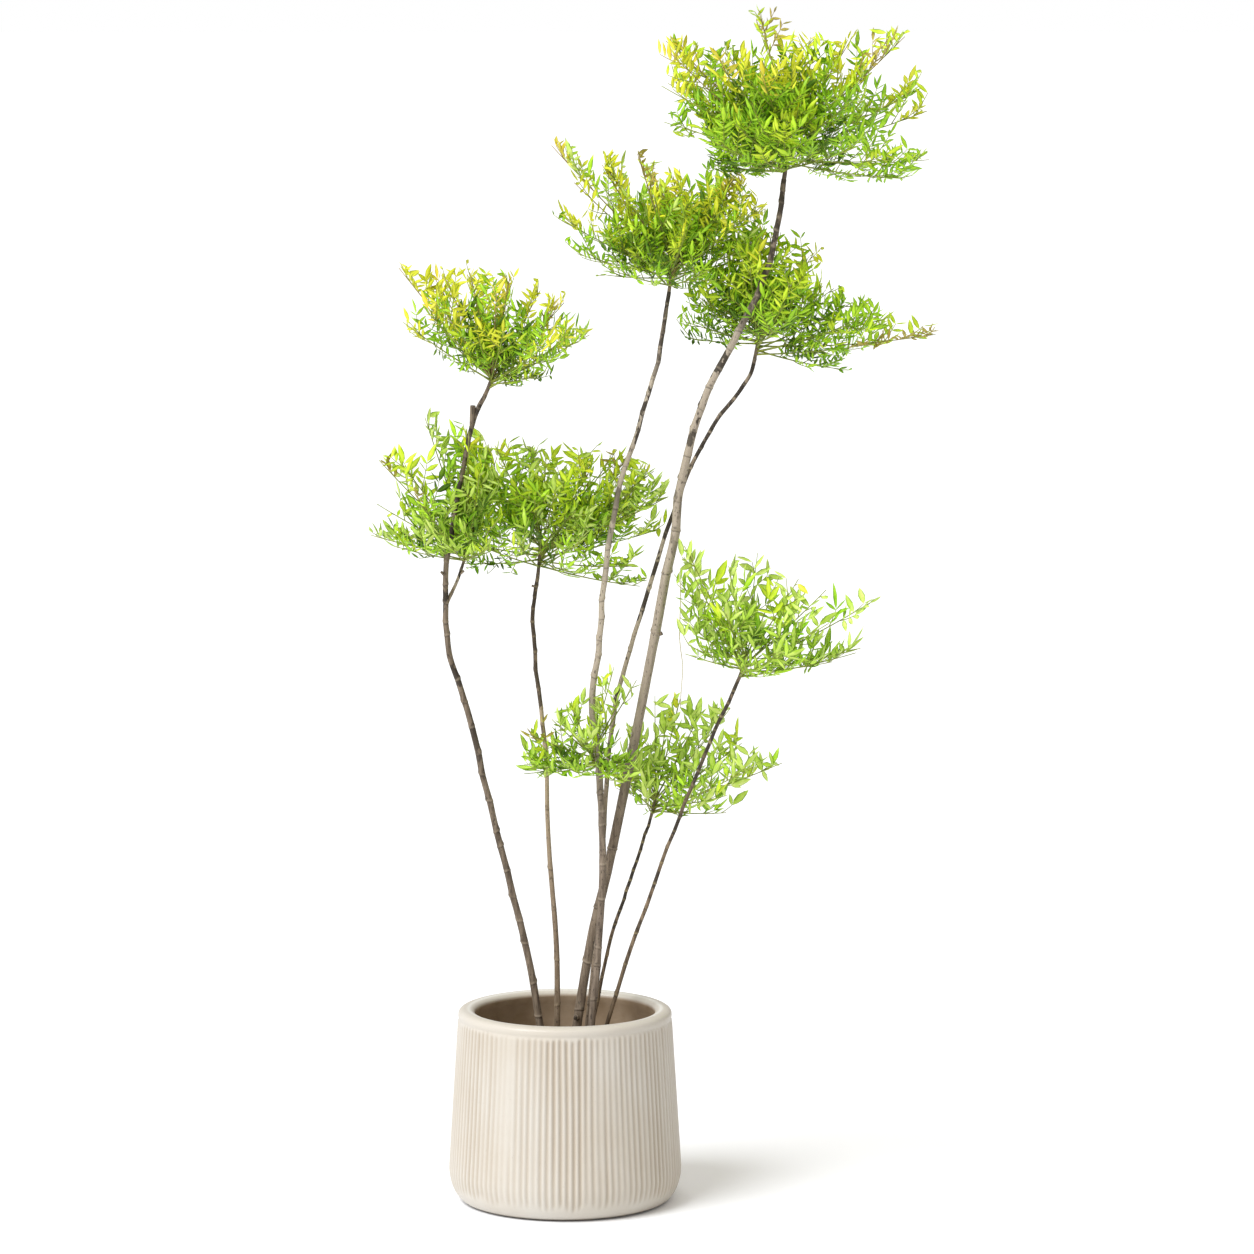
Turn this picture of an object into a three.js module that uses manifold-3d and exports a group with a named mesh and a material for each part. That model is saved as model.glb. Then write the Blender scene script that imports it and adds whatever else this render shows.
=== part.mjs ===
// A potted heavenly bamboo: seven bare canes in a ribbed ceramic pot, each with a crown of feathery fronds.
// Millimetres, +Z up, +X to the viewer's right, -Y towards the viewer. The origin is the centre of the pot's underside.

import * as THREE from "three";
import { mergeVertices } from "three/addons/utils/BufferGeometryUtils.js";
import Module from "manifold-3d";

const wasm = await Module();
wasm.setup();

// Driving dimensions

const SEAT_GAP = 0.3; // between two pieces that rest on each other
const LIMB_GAP = 1.5; // between foliage and a cane that it passes
const LEAF_GAP = 0.5; // between two sprays of leaves

const POT = {
  height: 303,
  footRadius: 150,
  bellyRadius: 180, // the widest place
  bellyHeight: 53,
  shoulderRadius: 165, // where the straight side meets the lip
  lipHalfWidth: 13,
  lipHeight: 13,
  wall: 19,
  floor: 24,
  segments: 54, // flat facets round it, each with two of its grooves
};
const RIBS = { count: 108, from: 56, to: 276, grooveDepth: 1.8, grooveWidth: 4 };
const SOIL_TOP = 222;

// Each cane: the points of its centre line, its radius at the foot, halfway and at the tip, and its sides.
const CANES = {
  cane_left: {
    route: [
      [-30, -8], [-53, -11, 363], [-98, -19, 555], [-121, -22, 649], [-147, -26, 765], [-175, -30, 854],
      [-181, -32, 920], [-180, -35, 981], [-158, -40, 1116], [-136, -44, 1218], [-119, -45, 1252],
    ],
    radii: [5.8, 4.8, 3.4],
    sides: 6,
    steps: 18,
  },
  cane_slender: {
    route: [[-12, 12], [-13, 24, 392], [-24, 36, 546], [-32, 50, 713], [-43, 57, 804], [-49, 65, 895], [-42, 70, 961]],
    radii: [4.8, 3.6, 3.0],
    sides: 6,
    steps: 12,
  },
  cane_middle: {
    route: [
      [36, -26], [51, -26, 387], [59, -26, 525], [52, -22, 682], [43, -12, 778], [54, 0, 871], [59, 8, 945],
      [81, 20, 1092], [115, 29, 1203], [141, 33, 1288], [154, 37, 1359], [160, 40, 1403],
    ],
    radii: [5.9, 5.0, 3.0],
    sides: 6,
    steps: 20,
  },
  cane_tall: {
    route: [
      [11, 5], [43, 5, 418], [66, 4, 516], [111, -4, 738], [154, -12, 962], [168, -16, 1032], [175, -17, 1098],
      [192, -19, 1175], [219, -22, 1259], [261, -24, 1338], [293, -25, 1402], [317, -27, 1473], [333, -30, 1577],
    ],
    radii: [7.2, 7.6, 3.8],
    sides: 8,
    steps: 22,
  },
  cane_behind: {
    route: [
      [29, 26], [54, 37, 462], [63, 45, 633], [80, 51, 777], [127, 58, 934], [166, 64, 1060],
      [189, 67, 1120], [226, 70, 1192], [286, 74, 1274], [292, 75, 1299],
    ],
    radii: [4.0, 3.5, 3.0],
    sides: 6,
    steps: 18,
  },
  cane_short: {
    route: [[33, 46], [76, 57, 415], [110, 65, 513], [132, 70, 584]],
    radii: [3.2, 2.8, 2.6],
    sides: 6,
    steps: 8,
  },
  cane_right: {
    route: [[48, 4], [102, -15, 395], [173, -41, 597], [232, -60, 744], [265, -70, 820]],
    radii: [3.4, 3.0, 2.8],
    sides: 6,
    steps: 10,
  },
};
const FLARE = { share: 0.3, height: 16 }; // how much wider a cane is where it meets the soil, and over what height

// The one bough: it leaves the left cane and carries the foliage low on the left.
const BOUGH = { from: "cane_left", route: [[-180, -32, 931], [-165, -18, 962], [-155, -10, 990]], radii: [3.0, 2.5, 2.2] };

// Broken stubs of old shoots: where each stands on its cane, its direction, length and radius.
const STUBS = [
  { cane: "cane_left", at: [-140, -43, 1196], along: [0.06, -0.1, 1], length: 42, radius: 4.4 },
  { cane: "cane_tall", at: [20, 5, 275], along: [-0.35, -0.9, 0.25], length: 13, radius: 4.0 },
];

// Each mass of foliage fans up and out of its cane's tip. reach holds its outline as the viewer sees it: the
// angle from the right through straight up to the left, in degrees, and how far the crown reaches there.
// depth is its reach to the front and back as a share of that, shoot the length of green stem inside it,
// fill how many fronds stand between those that run to the outline, and spray the size of a leaf spray.
const MASSES = {
  foliage_top: {
    cane: "cane_tall", seed: 11, depth: 0.95, shoot: 78, fill: 12, spray: [74, 36],
    reach: [[1, 185], [7, 230], [25, 246], [33, 252], [49, 290], [64, 243], [79, 222], [99, 262], [116, 222],
      [131, 281], [143, 240], [155, 206], [166, 118]],
  },
  foliage_upper_middle: {
    cane: "cane_middle", seed: 23, depth: 0.95, shoot: 50, fill: 8, spray: [68, 33],
    reach: [[14, 106], [28, 165], [43, 200], [60, 200], [84, 172], [103, 222], [117, 225], [129, 294], [146, 210],
      [157, 157], [166, 105]],
  },
  foliage_upper_right: {
    cane: "cane_behind", seed: 37, depth: 0.95, shoot: 50, fill: 7, spray: [68, 33],
    reach: [[-8, 137], [8, 287], [18, 215], [42, 166], [61, 190], [78, 200], [98, 190], [118, 170], [137, 140],
      [152, 125], [163, 106]],
  },
  foliage_upper_left: {
    cane: "cane_left", seed: 41, depth: 1, shoot: 36, fill: 7, spray: [62, 29],
    reach: [[20, 96], [30, 188], [49, 187], [62, 182], [78, 187], [97, 192], [109, 196], [125, 238],
      [138, 171]],
  },
  foliage_left: {
    bough: true, seed: 53, depth: 0.95, shoot: 34, fill: 6, spray: [60, 24],
    reach: [[30, 80], [66, 142], [88, 215], [104, 240], [128, 211], [146, 165], [164, 152]],
  },
  foliage_centre: {
    cane: "cane_slender", seed: 61, depth: 0.95, shoot: 66, fill: 7, spray: [62, 29],
    reach: [[-5, 163], [8, 150], [20, 208], [32, 244], [43, 252], [52, 236], [68, 208], [93, 212], [108, 215],
      [128, 175], [156, 137], [168, 118]],
  },
  foliage_right: {
    cane: "cane_right", seed: 79, depth: 0.95, shoot: 34, fill: 5, spray: [58, 23],
    reach: [[10, 150], [16, 197], [30, 244], [45, 195], [59, 182], [81, 195], [95, 175], [112, 228], [122, 190],
      [133, 135], [155, 92]],
  },
  foliage_low: {
    cane: "cane_short", seed: 83, depth: 0.95, shoot: 40, fill: 4, spray: [56, 23],
    reach: [[2, 122], [24, 229], [40, 190], [55, 221], [76, 195], [88, 197], [105, 150], [128, 90]],
  },
  foliage_shoot: {
    side: "cane_middle", at: [52, -22, 682], along: [-0.35, 0.75, 0.5], seed: 97, depth: 1, shoot: 34, fill: 3,
    spray: [52, 22],
    reach: [[65, 143], [81, 160], [114, 96], [134, 105], [154, 130], [174, 112], [188, 119]],
  },
};
const TWIG = { radii: [1.5, 2.0, 1.4], bendAt: 0.5, endAt: 0.88, offset: 0.9 }; // a frond's rib, three-sided
const SPRAY = {
  thickness: 2.6,
  widest: 0.42, // how far along its length a spray is broadest
  sunk: 0.4, // how far its root lies behind the rib's centre line
  first: 0.36, // where the pairs start and end along the rib
  last: 0.84,
  spacing: 34, // from one pair to the next
  spread: [60, 38], // its angle from the rib, at the first pair and the last
  lift: 0.25, // how far it rises above the frond's plane
  turn: 35, // how far it turns about its own length, at most
};
const OUTLINE = { over: 6, under: 7 }; // how far a spray may pass the outline, in mm, and below it, in degrees
const FROND = { sag: 0.13, shortest: 0.74, longest: 1, lowest: 6, steepest: 64, roll: 70 };

// Materials

const material = (color, roughness) => new THREE.MeshStandardMaterial({ color, roughness, metalness: 0 });
const glazedStoneware = material(0xded6c5, 0.55);
const pottingSoil = material(0x3b2a1e, 0.95);
const caneBark = material(0x7b6a5b, 0.8);
const leafGreen = material(0x8dc21f, 0.5);

// Solids

// A closed mesh, from its corners and faces, as a solid that can be joined and cut.
function solidFrom(corners, faces) {
  const made = new wasm.Manifold(
    new wasm.Mesh({
      numProp: 3,
      vertProperties: Float32Array.from(corners.flatMap((p) => [p.x, p.y, p.z])),
      triVerts: Uint32Array.from(faces.flat()),
    }),
  );
  if (made.volume() > 0) return made;
  return solidFrom(corners, faces.map(([a, b, c]) => [a, c, b]));
}

// A three.js geometry as a solid.
function solidOf(geometry) {
  const bare = geometry.clone();
  bare.deleteAttribute("normal");
  bare.deleteAttribute("uv");
  const merged = mergeVertices(bare, 1e-3);
  const place = merged.getAttribute("position");
  const corners = Array.from({ length: place.count }, (_, i) => new THREE.Vector3().fromBufferAttribute(place, i));
  const ids = Array.from(merged.index.array);
  const faces = [];
  for (let i = 0; i < ids.length; i += 3) {
    const face = ids.slice(i, i + 3);
    if (new Set(face).size === 3) faces.push(face); // a lathe's faces on its axis have no area
  }
  return solidFrom(corners, faces);
}

// The largest body of a solid, without hollows, loose scraps and needless corners, as a named mesh.
function meshOf(name, solid, finish, tolerance = 0.02) {
  const bodies = solid.decompose();
  const largest = bodies.reduce((a, b) => (b.volume() > a.volume() ? b : a)).asOriginal().simplify(tolerance);
  const { numProp, vertProperties, triVerts } = largest.getMesh();
  const place = new Float32Array((vertProperties.length / numProp) * 3);
  for (let i = 0; i < place.length / 3; i++) place.set(vertProperties.subarray(i * numProp, i * numProp + 3), i * 3);
  const geometry = new THREE.BufferGeometry();
  geometry.setAttribute("position", new THREE.BufferAttribute(place, 3));
  geometry.setIndex(new THREE.BufferAttribute(new Uint32Array(triVerts), 1));
  geometry.computeVertexNormals();
  const mesh = new THREE.Mesh(geometry, finish);
  mesh.name = name;
  return mesh;
}

// Limbs

// The radius at t along a limb that has one at its foot, halfway and at its tip.
function radiusAt([foot, middle, tip], t) {
  return t < 0.5 ? foot + (middle - foot) * t * 2 : middle + (tip - middle) * (t - 0.5) * 2;
}

// A tapering limb along a curve. spare widens it all round, level cuts its foot level, and flare spreads its foot.
function limb(curve, radii, { sides, steps, stations, spare = 0, level = false, flare = false }) {
  const corners = [];
  const length = curve.getLength();
  const up = new THREE.Vector3(0, 0, 1);
  const shares = stations ?? Array.from({ length: steps + 1 }, (_, i) => (i / steps) ** (flare ? 1.15 : 1));
  const last = shares.length - 1;
  for (const [i, share] of shares.entries()) {
    const centre = curve.getPointAt(share);
    const along = level && i === 0 ? up : curve.getTangentAt(share);
    const across = new THREE.Vector3(0, 1, 0).cross(along).normalize();
    const other = along.clone().cross(across);
    const foot = flare ? 1 + FLARE.share * Math.exp((-share * length) / FLARE.height) : 1;
    const radius = radiusAt(radii, share) * foot + spare;
    for (let k = 0; k < sides; k++) {
      const turn = (k / sides) * 2 * Math.PI;
      corners.push(
        centre
          .clone()
          .addScaledVector(across, radius * Math.cos(turn))
          .addScaledVector(other, radius * Math.sin(turn)),
      );
    }
  }
  const faces = [];
  for (let i = 0; i < last; i++)
    for (let k = 0; k < sides; k++) {
      const [a, b] = [i * sides + k, i * sides + ((k + 1) % sides)];
      faces.push([a, b, b + sides], [a, b + sides, a + sides]);
    }
  for (let k = 1; k < sides - 1; k++) {
    faces.push([0, k + 1, k]);
    faces.push([last * sides, last * sides + k, last * sides + k + 1]);
  }
  return solidFrom(corners, faces);
}

const vector = ([x, y, z = SOIL_TOP + SEAT_GAP]) => new THREE.Vector3(x, y, z);
const curveThrough = (route) => new THREE.CatmullRomCurve3(route.map(vector), false, "centripetal");

// Foliage

// Repeatable draws from 0 to 1 for one seed.
function drawsOf(seed) {
  let state = (seed * 7919 + 17) >>> 0;
  return () => {
    state = (Math.imul(state, 1664525) + 1013904223) >>> 0;
    return state / 4294967296;
  };
}

const radians = THREE.MathUtils.degToRad;

// A mass's reach at any angle of the view, between the angles that its outline names.
function reachAt(reach, angle) {
  const next = reach.findIndex(([a]) => a >= angle);
  if (next === 0) return reach[0][1];
  if (next < 0) return reach[reach.length - 1][1];
  const [[a0, r0], [a1, r1]] = [reach[next - 1], reach[next]];
  return r0 + ((r1 - r0) * (angle - a0)) / (a1 - a0);
}

// The outline carried round to the front and back: how far a mass reaches at an azimuth and a rise, in
// radians and degrees, and the lowest rise that it has at that azimuth.
function envelopeAt({ reach, depth }, azimuth, rise) {
  const right = (1 + Math.cos(azimuth)) / 2;
  const narrowing = 1 - (1 - depth) * Math.sin(azimuth) ** 2;
  return {
    far: narrowing * (right * reachAt(reach, rise) + (1 - right) * reachAt(reach, 180 - rise)),
    low: right * reach[0][0] + (1 - right) * (180 - reach[reach.length - 1][0]),
  };
}

// Whether a point, given from the root of a mass, lies in the mass's outline.
function isInOutline(mass, offset) {
  const rise = THREE.MathUtils.radToDeg(Math.atan2(offset.z, Math.hypot(offset.x, offset.y)));
  const { far, low } = envelopeAt(mass, Math.atan2(offset.y, offset.x), rise);
  return offset.length() < far + OUTLINE.over && (rise > low - OUTLINE.under || offset.length() < 40);
}

// The fronds of a mass: each one's tip, from the mass's root, how steeply it rises, and its own draws.
function frondsOf(mass) {
  const draw = drawsOf(mass.seed);
  const { reach, depth, fill } = mass;
  const fronds = reach.map(([angle, far]) => ({
    tip: new THREE.Vector3(
      far * Math.cos(radians(angle)), (draw() - 0.5) * 0.6 * far * depth, far * Math.sin(radians(angle))),
    rise: angle <= 90 ? angle : 180 - angle,
  }));
  const turn = draw() * 360;
  for (let i = 0; i < fill; i++) {
    const azimuth = radians(turn + i * 137.508);
    const { low } = envelopeAt(mass, azimuth, 0);
    const rise = low + FROND.lowest + (FROND.steepest - low) * ((i + 0.5) / fill);
    const { far } = envelopeAt(mass, azimuth, rise);
    const length = far * (FROND.shortest + (FROND.longest - FROND.shortest) * draw());
    const level = length * Math.cos(radians(rise));
    fronds.push({
      tip: new THREE.Vector3(level * Math.cos(azimuth), level * Math.sin(azimuth), length * Math.sin(radians(rise))),
      rise,
    });
  }
  return fronds.map((frond, i) => ({ ...frond, draw: drawsOf(mass.seed * 100 + i) }));
}

// A frond's rib, from beside the shoot's centre line to its tip, as straight lengths: it sags and turns up again.
function ribOf(frond, root, shoot) {
  const share = 0.25 + 0.73 * THREE.MathUtils.clamp((frond.rise + 8) / 90, 0, 1);
  const attach = shoot.getPointAt(share);
  const tip = frond.tip.clone().add(root);
  const outward = tip.clone().sub(attach).projectOnPlane(shoot.getTangentAt(share)).normalize();
  attach.addScaledVector(outward, TWIG.offset);
  const middle = attach.clone().lerp(tip, 0.5);
  middle.z -= FROND.sag * Math.cos(radians(frond.rise)) * attach.distanceTo(tip);
  const bend = new THREE.QuadraticBezierCurve3(attach, middle, tip).getPoint(TWIG.bendAt);
  const lower = new THREE.LineCurve3(attach, bend);
  const upper = new THREE.LineCurve3(bend, tip);
  return {
    attach,
    tip,
    length: attach.distanceTo(tip),
    pointAt: (at) =>
      at < TWIG.bendAt ? lower.getPoint(at / TWIG.bendAt) : upper.getPoint((at - TWIG.bendAt) / (1 - TWIG.bendAt)),
    forwardAt: (at) => (at < TWIG.bendAt ? lower : upper).getTangent(0),
  };
}

// The sprays along a rib: where each starts, its direction, its upper side, and its length and width.
function spraysOf(rib, { draw }, [long, wide]) {
  const { first, last, spacing, spread, lift, turn } = SPRAY;
  const pairs = Math.max(2, Math.round(((last - first) * rib.length) / spacing) + 1);
  const roll = radians(FROND.roll) * (2 * draw() - 1);
  const sprays = [];
  for (let i = 0; i < pairs; i++)
    for (const across of [-1, 1]) {
      const at = first + ((last - first) * (i + 0.25 * across)) / (pairs - 1);
      const forward = rib.forwardAt(at);
      const side = forward.clone().cross(new THREE.Vector3(0, 0, 1)).normalize().applyAxisAngle(forward, roll);
      const face = side.clone().cross(forward);
      const angle = radians(spread[0] + ((spread[1] - spread[0]) * i) / (pairs - 1));
      const size = (0.86 + 0.28 * draw()) * (1.1 - 0.35 * at);
      const along = forward.clone().multiplyScalar(Math.cos(angle)).addScaledVector(side, across * Math.sin(angle))
        .addScaledVector(face, lift + 0.5 * (draw() - 0.5)).normalize();
      const upper = face.clone().addScaledVector(along, -face.dot(along)).normalize()
        .applyAxisAngle(along, radians(turn) * (2 * draw() - 1));
      sprays.push({ at, root: rib.pointAt(at), along, upper, size: [long * size, wide * size] });
    }
  const at = 1 - Math.min(0.4, (long * 0.8) / rib.length);
  const root = rib.pointAt(at);
  const along = rib.tip.clone().sub(root);
  const size = [along.length(), wide * 0.85];
  along.normalize();
  const side = along.clone().cross(new THREE.Vector3(0, 0, 1)).normalize();
  const upper = side.cross(along).applyAxisAngle(along, roll);
  sprays.push({ at: 1, root, along, upper, size });
  return sprays;
}

// The rib as a three-sided twig that ends inside its last spray.
function twigOf(rib) {
  const points = [0, TWIG.bendAt, TWIG.endAt].map(rib.pointAt);
  const path = new THREE.CurvePath();
  path.add(new THREE.LineCurve3(points[0], points[1]));
  path.add(new THREE.LineCurve3(points[1], points[2]));
  return limb(path, TWIG.radii, { sides: 3, stations: [0, points[0].distanceTo(points[1]) / path.getLength(), 1] });
}

// Whether two solids come within the leaf gap of each other.
function closeTo(one, other) {
  const [a, b] = [one.boundingBox(), other.boundingBox()];
  if ([0, 1, 2].some((k) => a.min[k] > b.max[k] + LEAF_GAP || b.min[k] > a.max[k] + LEAF_GAP)) return false;
  return one.minGap(other, LEAF_GAP * 2) < LEAF_GAP;
}

// A spray of leaves as one keeled blade of four faces.
function blade({ root, along, upper, size: [length, width] }) {
  const side = along.clone().cross(upper);
  const middle = root.clone().addScaledVector(along, length * SPRAY.widest).addScaledVector(upper, SPRAY.thickness);
  return solidFrom(
    [
      root.clone().addScaledVector(along, -SPRAY.sunk),
      root.clone().addScaledVector(along, length),
      middle.clone().addScaledVector(side, width / 2),
      middle.clone().addScaledVector(side, -width / 2),
    ],
    [[0, 1, 2], [0, 3, 1], [0, 2, 3], [1, 3, 2]],
  );
}

// The space of each mass is an ellipsoid round its outline, shared out with its neighbours' by the nearer centre.
function spaceOf(mass, root) {
  const box = new THREE.Box3();
  for (const [angle, reach] of mass.reach)
    box.expandByPoint(
      new THREE.Vector3(reach * Math.cos(radians(angle)), 0, reach * Math.sin(radians(angle))).add(root));
  const centre = box.getCenter(new THREE.Vector3());
  const half = box.getSize(new THREE.Vector3()).multiplyScalar(0.5);
  half.y = half.x * mass.depth;
  return { centre, half };
}

function levelIn(space, point) {
  const away = point.clone().sub(space.centre).divide(space.half);
  return away.length();
}

// Assembly

const plant = new THREE.Group();

// Pot: a lathed body whose side is cut by fine upright grooves
const lipCentre = POT.height - POT.lipHeight;
const potOutline = [new THREE.Vector2(0, 0), new THREE.Vector2(POT.footRadius, 0)];
for (const turn of [30, 60, 90])
  potOutline.push(
    new THREE.Vector2(
      POT.footRadius + (POT.bellyRadius - POT.footRadius) * Math.sin(radians(turn)),
      POT.bellyHeight * (1 - Math.cos(radians(turn))),
    ),
  );
for (const turn of [0, 45, 90, 135, 180])
  potOutline.push(
    new THREE.Vector2(
      POT.shoulderRadius - POT.lipHalfWidth * (1 - Math.cos(radians(turn))),
      lipCentre + POT.lipHeight * Math.sin(radians(turn)),
    ),
  );
const innerRadius = (z) =>
  POT.bellyRadius -
  POT.wall -
  ((POT.bellyRadius - POT.shoulderRadius) * (z - POT.bellyHeight)) / (lipCentre - POT.bellyHeight);
potOutline.push(new THREE.Vector2(innerRadius(SOIL_TOP + 30), SOIL_TOP + 30));
potOutline.push(new THREE.Vector2(innerRadius(POT.bellyHeight), POT.bellyHeight));
potOutline.push(new THREE.Vector2(POT.footRadius - POT.wall, POT.floor));
potOutline.push(new THREE.Vector2(0, POT.floor));
const latheUpright = (outline) => new THREE.LatheGeometry(outline, POT.segments).rotateX(Math.PI / 2);

const sideRadius = (z) => innerRadius(z) + POT.wall;
function groove(turn) {
  const corners = [RIBS.from, RIBS.to].flatMap((z) =>
    [
      [sideRadius(z) - RIBS.grooveDepth, 0],
      [sideRadius(z) + 1, RIBS.grooveWidth / 2],
      [sideRadius(z) + 1, -RIBS.grooveWidth / 2],
    ].map(([x, y]) => new THREE.Vector3(x, y, z).applyAxisAngle(new THREE.Vector3(0, 0, 1), turn)),
  );
  return solidFrom(corners, [[0, 1, 2], [3, 5, 4], [0, 3, 4], [0, 4, 1], [1, 4, 5], [1, 5, 2], [2, 5, 3], [2, 3, 0]]);
}
let potBody = solidOf(latheUpright(potOutline));
const grooves = Array.from({ length: RIBS.count }, (_, i) => groove(((i + 0.5) / RIBS.count) * 2 * Math.PI));
for (const cut of grooves) potBody = potBody.subtract(cut);
plant.add(meshOf("pot", potBody, glazedStoneware));

// Soil: it fills the pot to below the lip
const soilOutline = [
  [0, POT.floor + SEAT_GAP],
  [POT.footRadius - POT.wall - 1, POT.floor + SEAT_GAP],
  [innerRadius(POT.bellyHeight) - 1, POT.bellyHeight],
  [innerRadius(SOIL_TOP) - 1, SOIL_TOP],
  [0, SOIL_TOP],
].map(([x, y]) => new THREE.Vector2(x, y));
plant.add(meshOf("soil", solidOf(latheUpright(soilOutline)), pottingSoil));

// Canes, each with its broken stubs
const curves = {};
for (const [name, cane] of Object.entries(CANES)) {
  curves[name] = curveThrough(cane.route);
  let solid = limb(curves[name], cane.radii, { ...cane, level: true, flare: true });
  for (const stub of STUBS.filter((s) => s.cane === name)) {
    const from = new THREE.Vector3(...stub.at);
    const to = from.clone().addScaledVector(new THREE.Vector3(...stub.along).normalize(), stub.length);
    const shape = limb(new THREE.LineCurve3(from, to), [stub.radius, stub.radius, stub.radius * 0.9], {
      sides: 6,
      steps: 1,
    });
    solid = solid.add(shape);
  }
  plant.add(meshOf(name, solid, caneBark));
}

// Bough: it starts on the left cane's centre line, and that cane with a little room round it is cut away
const boughCurve = curveThrough(BOUGH.route);
const boughSolid = limb(boughCurve, BOUGH.radii, { sides: 6, steps: 4 }).subtract(
  limb(curves[BOUGH.from], CANES[BOUGH.from].radii, { ...CANES[BOUGH.from], spare: SEAT_GAP, flare: true }),
);
plant.add(meshOf("bough_left", boughSolid, caneBark));

// Every limb as points along it with their radius, to keep foliage off it
const limbs = [
  ...Object.entries(CANES).map(([name, cane]) => [name, curves[name], cane.radii]),
  ["bough_left", boughCurve, BOUGH.radii],
].map(([name, curve, radii]) => ({
  name,
  points: curve.getSpacedPoints(160).map((place, i) => ({ place, radius: radiusAt(radii, i / 160) })),
}));

// The room between a spray of leaves and the nearest limb.
function roomBeside(root, tip, width) {
  const line = new THREE.Line3(root, tip);
  const near = new THREE.Vector3();
  let least = Infinity;
  for (const { points } of limbs)
    for (const { place, radius } of points) {
      line.closestPointToPoint(place, true, near);
      least = Math.min(least, near.distanceTo(place) - radius - width / 2);
    }
  return least;
}

// Where each mass grows from, and which way its shoot points
const starts = {};
for (const [name, mass] of Object.entries(MASSES)) {
  const curve = mass.bough ? boughCurve : curves[mass.cane ?? mass.side];
  const along = mass.side ? new THREE.Vector3(...mass.along).normalize() : curve.getTangentAt(1);
  const root = mass.side ? new THREE.Vector3(...mass.at) : curve.getPointAt(1).addScaledVector(along, SEAT_GAP);
  starts[name] = { root, along, space: spaceOf(mass, root) };
}

// Foliage: a green shoot, the ribs of its fronds and their sprays of leaves, joined into one solid for each mass
for (const [name, mass] of Object.entries(MASSES)) {
  const { root, along, space } = starts[name];
  const others = Object.keys(MASSES).filter((n) => n !== name).map((n) => starts[n].space);
  const isOwn = (point) => others.every((other) => levelIn(space, point) + 0.03 < levelIn(other, point));
  const shootDirection = along.clone().add(new THREE.Vector3(0, 0, mass.side ? 0 : 0.8)).normalize();
  const shootMiddle = root.clone().addScaledVector(along, mass.shoot * 0.4);
  const shootTip = shootMiddle.clone().addScaledVector(shootDirection, mass.shoot * 0.6);
  const shootCurve = new THREE.QuadraticBezierCurve3(root, shootMiddle, shootTip);
  const footRadius = mass.side ? 2.6 : (mass.bough ? BOUGH : CANES[mass.cane]).radii[2];
  const parts = [limb(shootCurve, [footRadius, 2.8, 2.2], { sides: 6, steps: 3 })];
  const ribs = frondsOf(mass)
    .map((frond) => ({ frond, rib: ribOf(frond, root, shootCurve) }))
    .filter(({ rib }) => isOwn(rib.pointAt(0.88)) &&
      roomBeside(rib.pointAt(0.4), rib.pointAt(0.88), 2 * TWIG.radii[1]) > LIMB_GAP);
  const twigs = ribs.map(({ rib }) => twigOf(rib));
  const blades = [];
  const sprays = ribs.flatMap(({ frond, rib }, i) =>
    spraysOf(rib, frond, mass.spray).map((spray) => ({ ...spray, twig: twigs[i] })));
  for (const spray of sprays.sort((a, b) => b.at - a.at)) {
    const [long, wide] = spray.size;
    for (const share of [1, 0.8, 0.62]) {
      const [near, middle, end] = [0.15, 0.5, 1].map((at) =>
        spray.root.clone().addScaledVector(spray.along, long * share * at));
      if (!isInOutline(mass, end.clone().sub(root)) || !isOwn(middle) || !isOwn(end)) continue;
      if (roomBeside(near, end, wide * share * 0.6) < LIMB_GAP) continue;
      const solid = blade({ ...spray, size: [long * share, wide * share] });
      if ([...parts, ...twigs, ...blades].some((other) => other !== spray.twig && closeTo(solid, other))) continue;
      blades.push(solid);
      break;
    }
  }
  parts.push(...twigs);
  let joined = wasm.Manifold.union([...parts, ...blades]);
  if (mass.side)
    joined = joined.subtract(
      limb(curves[mass.side], CANES[mass.side].radii, { ...CANES[mass.side], spare: SEAT_GAP, flare: true }),
    );
  plant.add(meshOf(name, joined, leafGreen, 0.2));
}

export default plant;
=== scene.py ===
"""The looks of a potted heavenly bamboo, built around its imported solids.

Metres, +Z up, +X to the viewer's right and -Y towards the viewer. Limbs and crowns follow the source's own
sizes and seeded rule, written again here in millimetres and carried on to leaf stalks and single leaflets.
"""

import logging
import math
from dataclasses import dataclass, field
from enum import IntEnum

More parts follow.
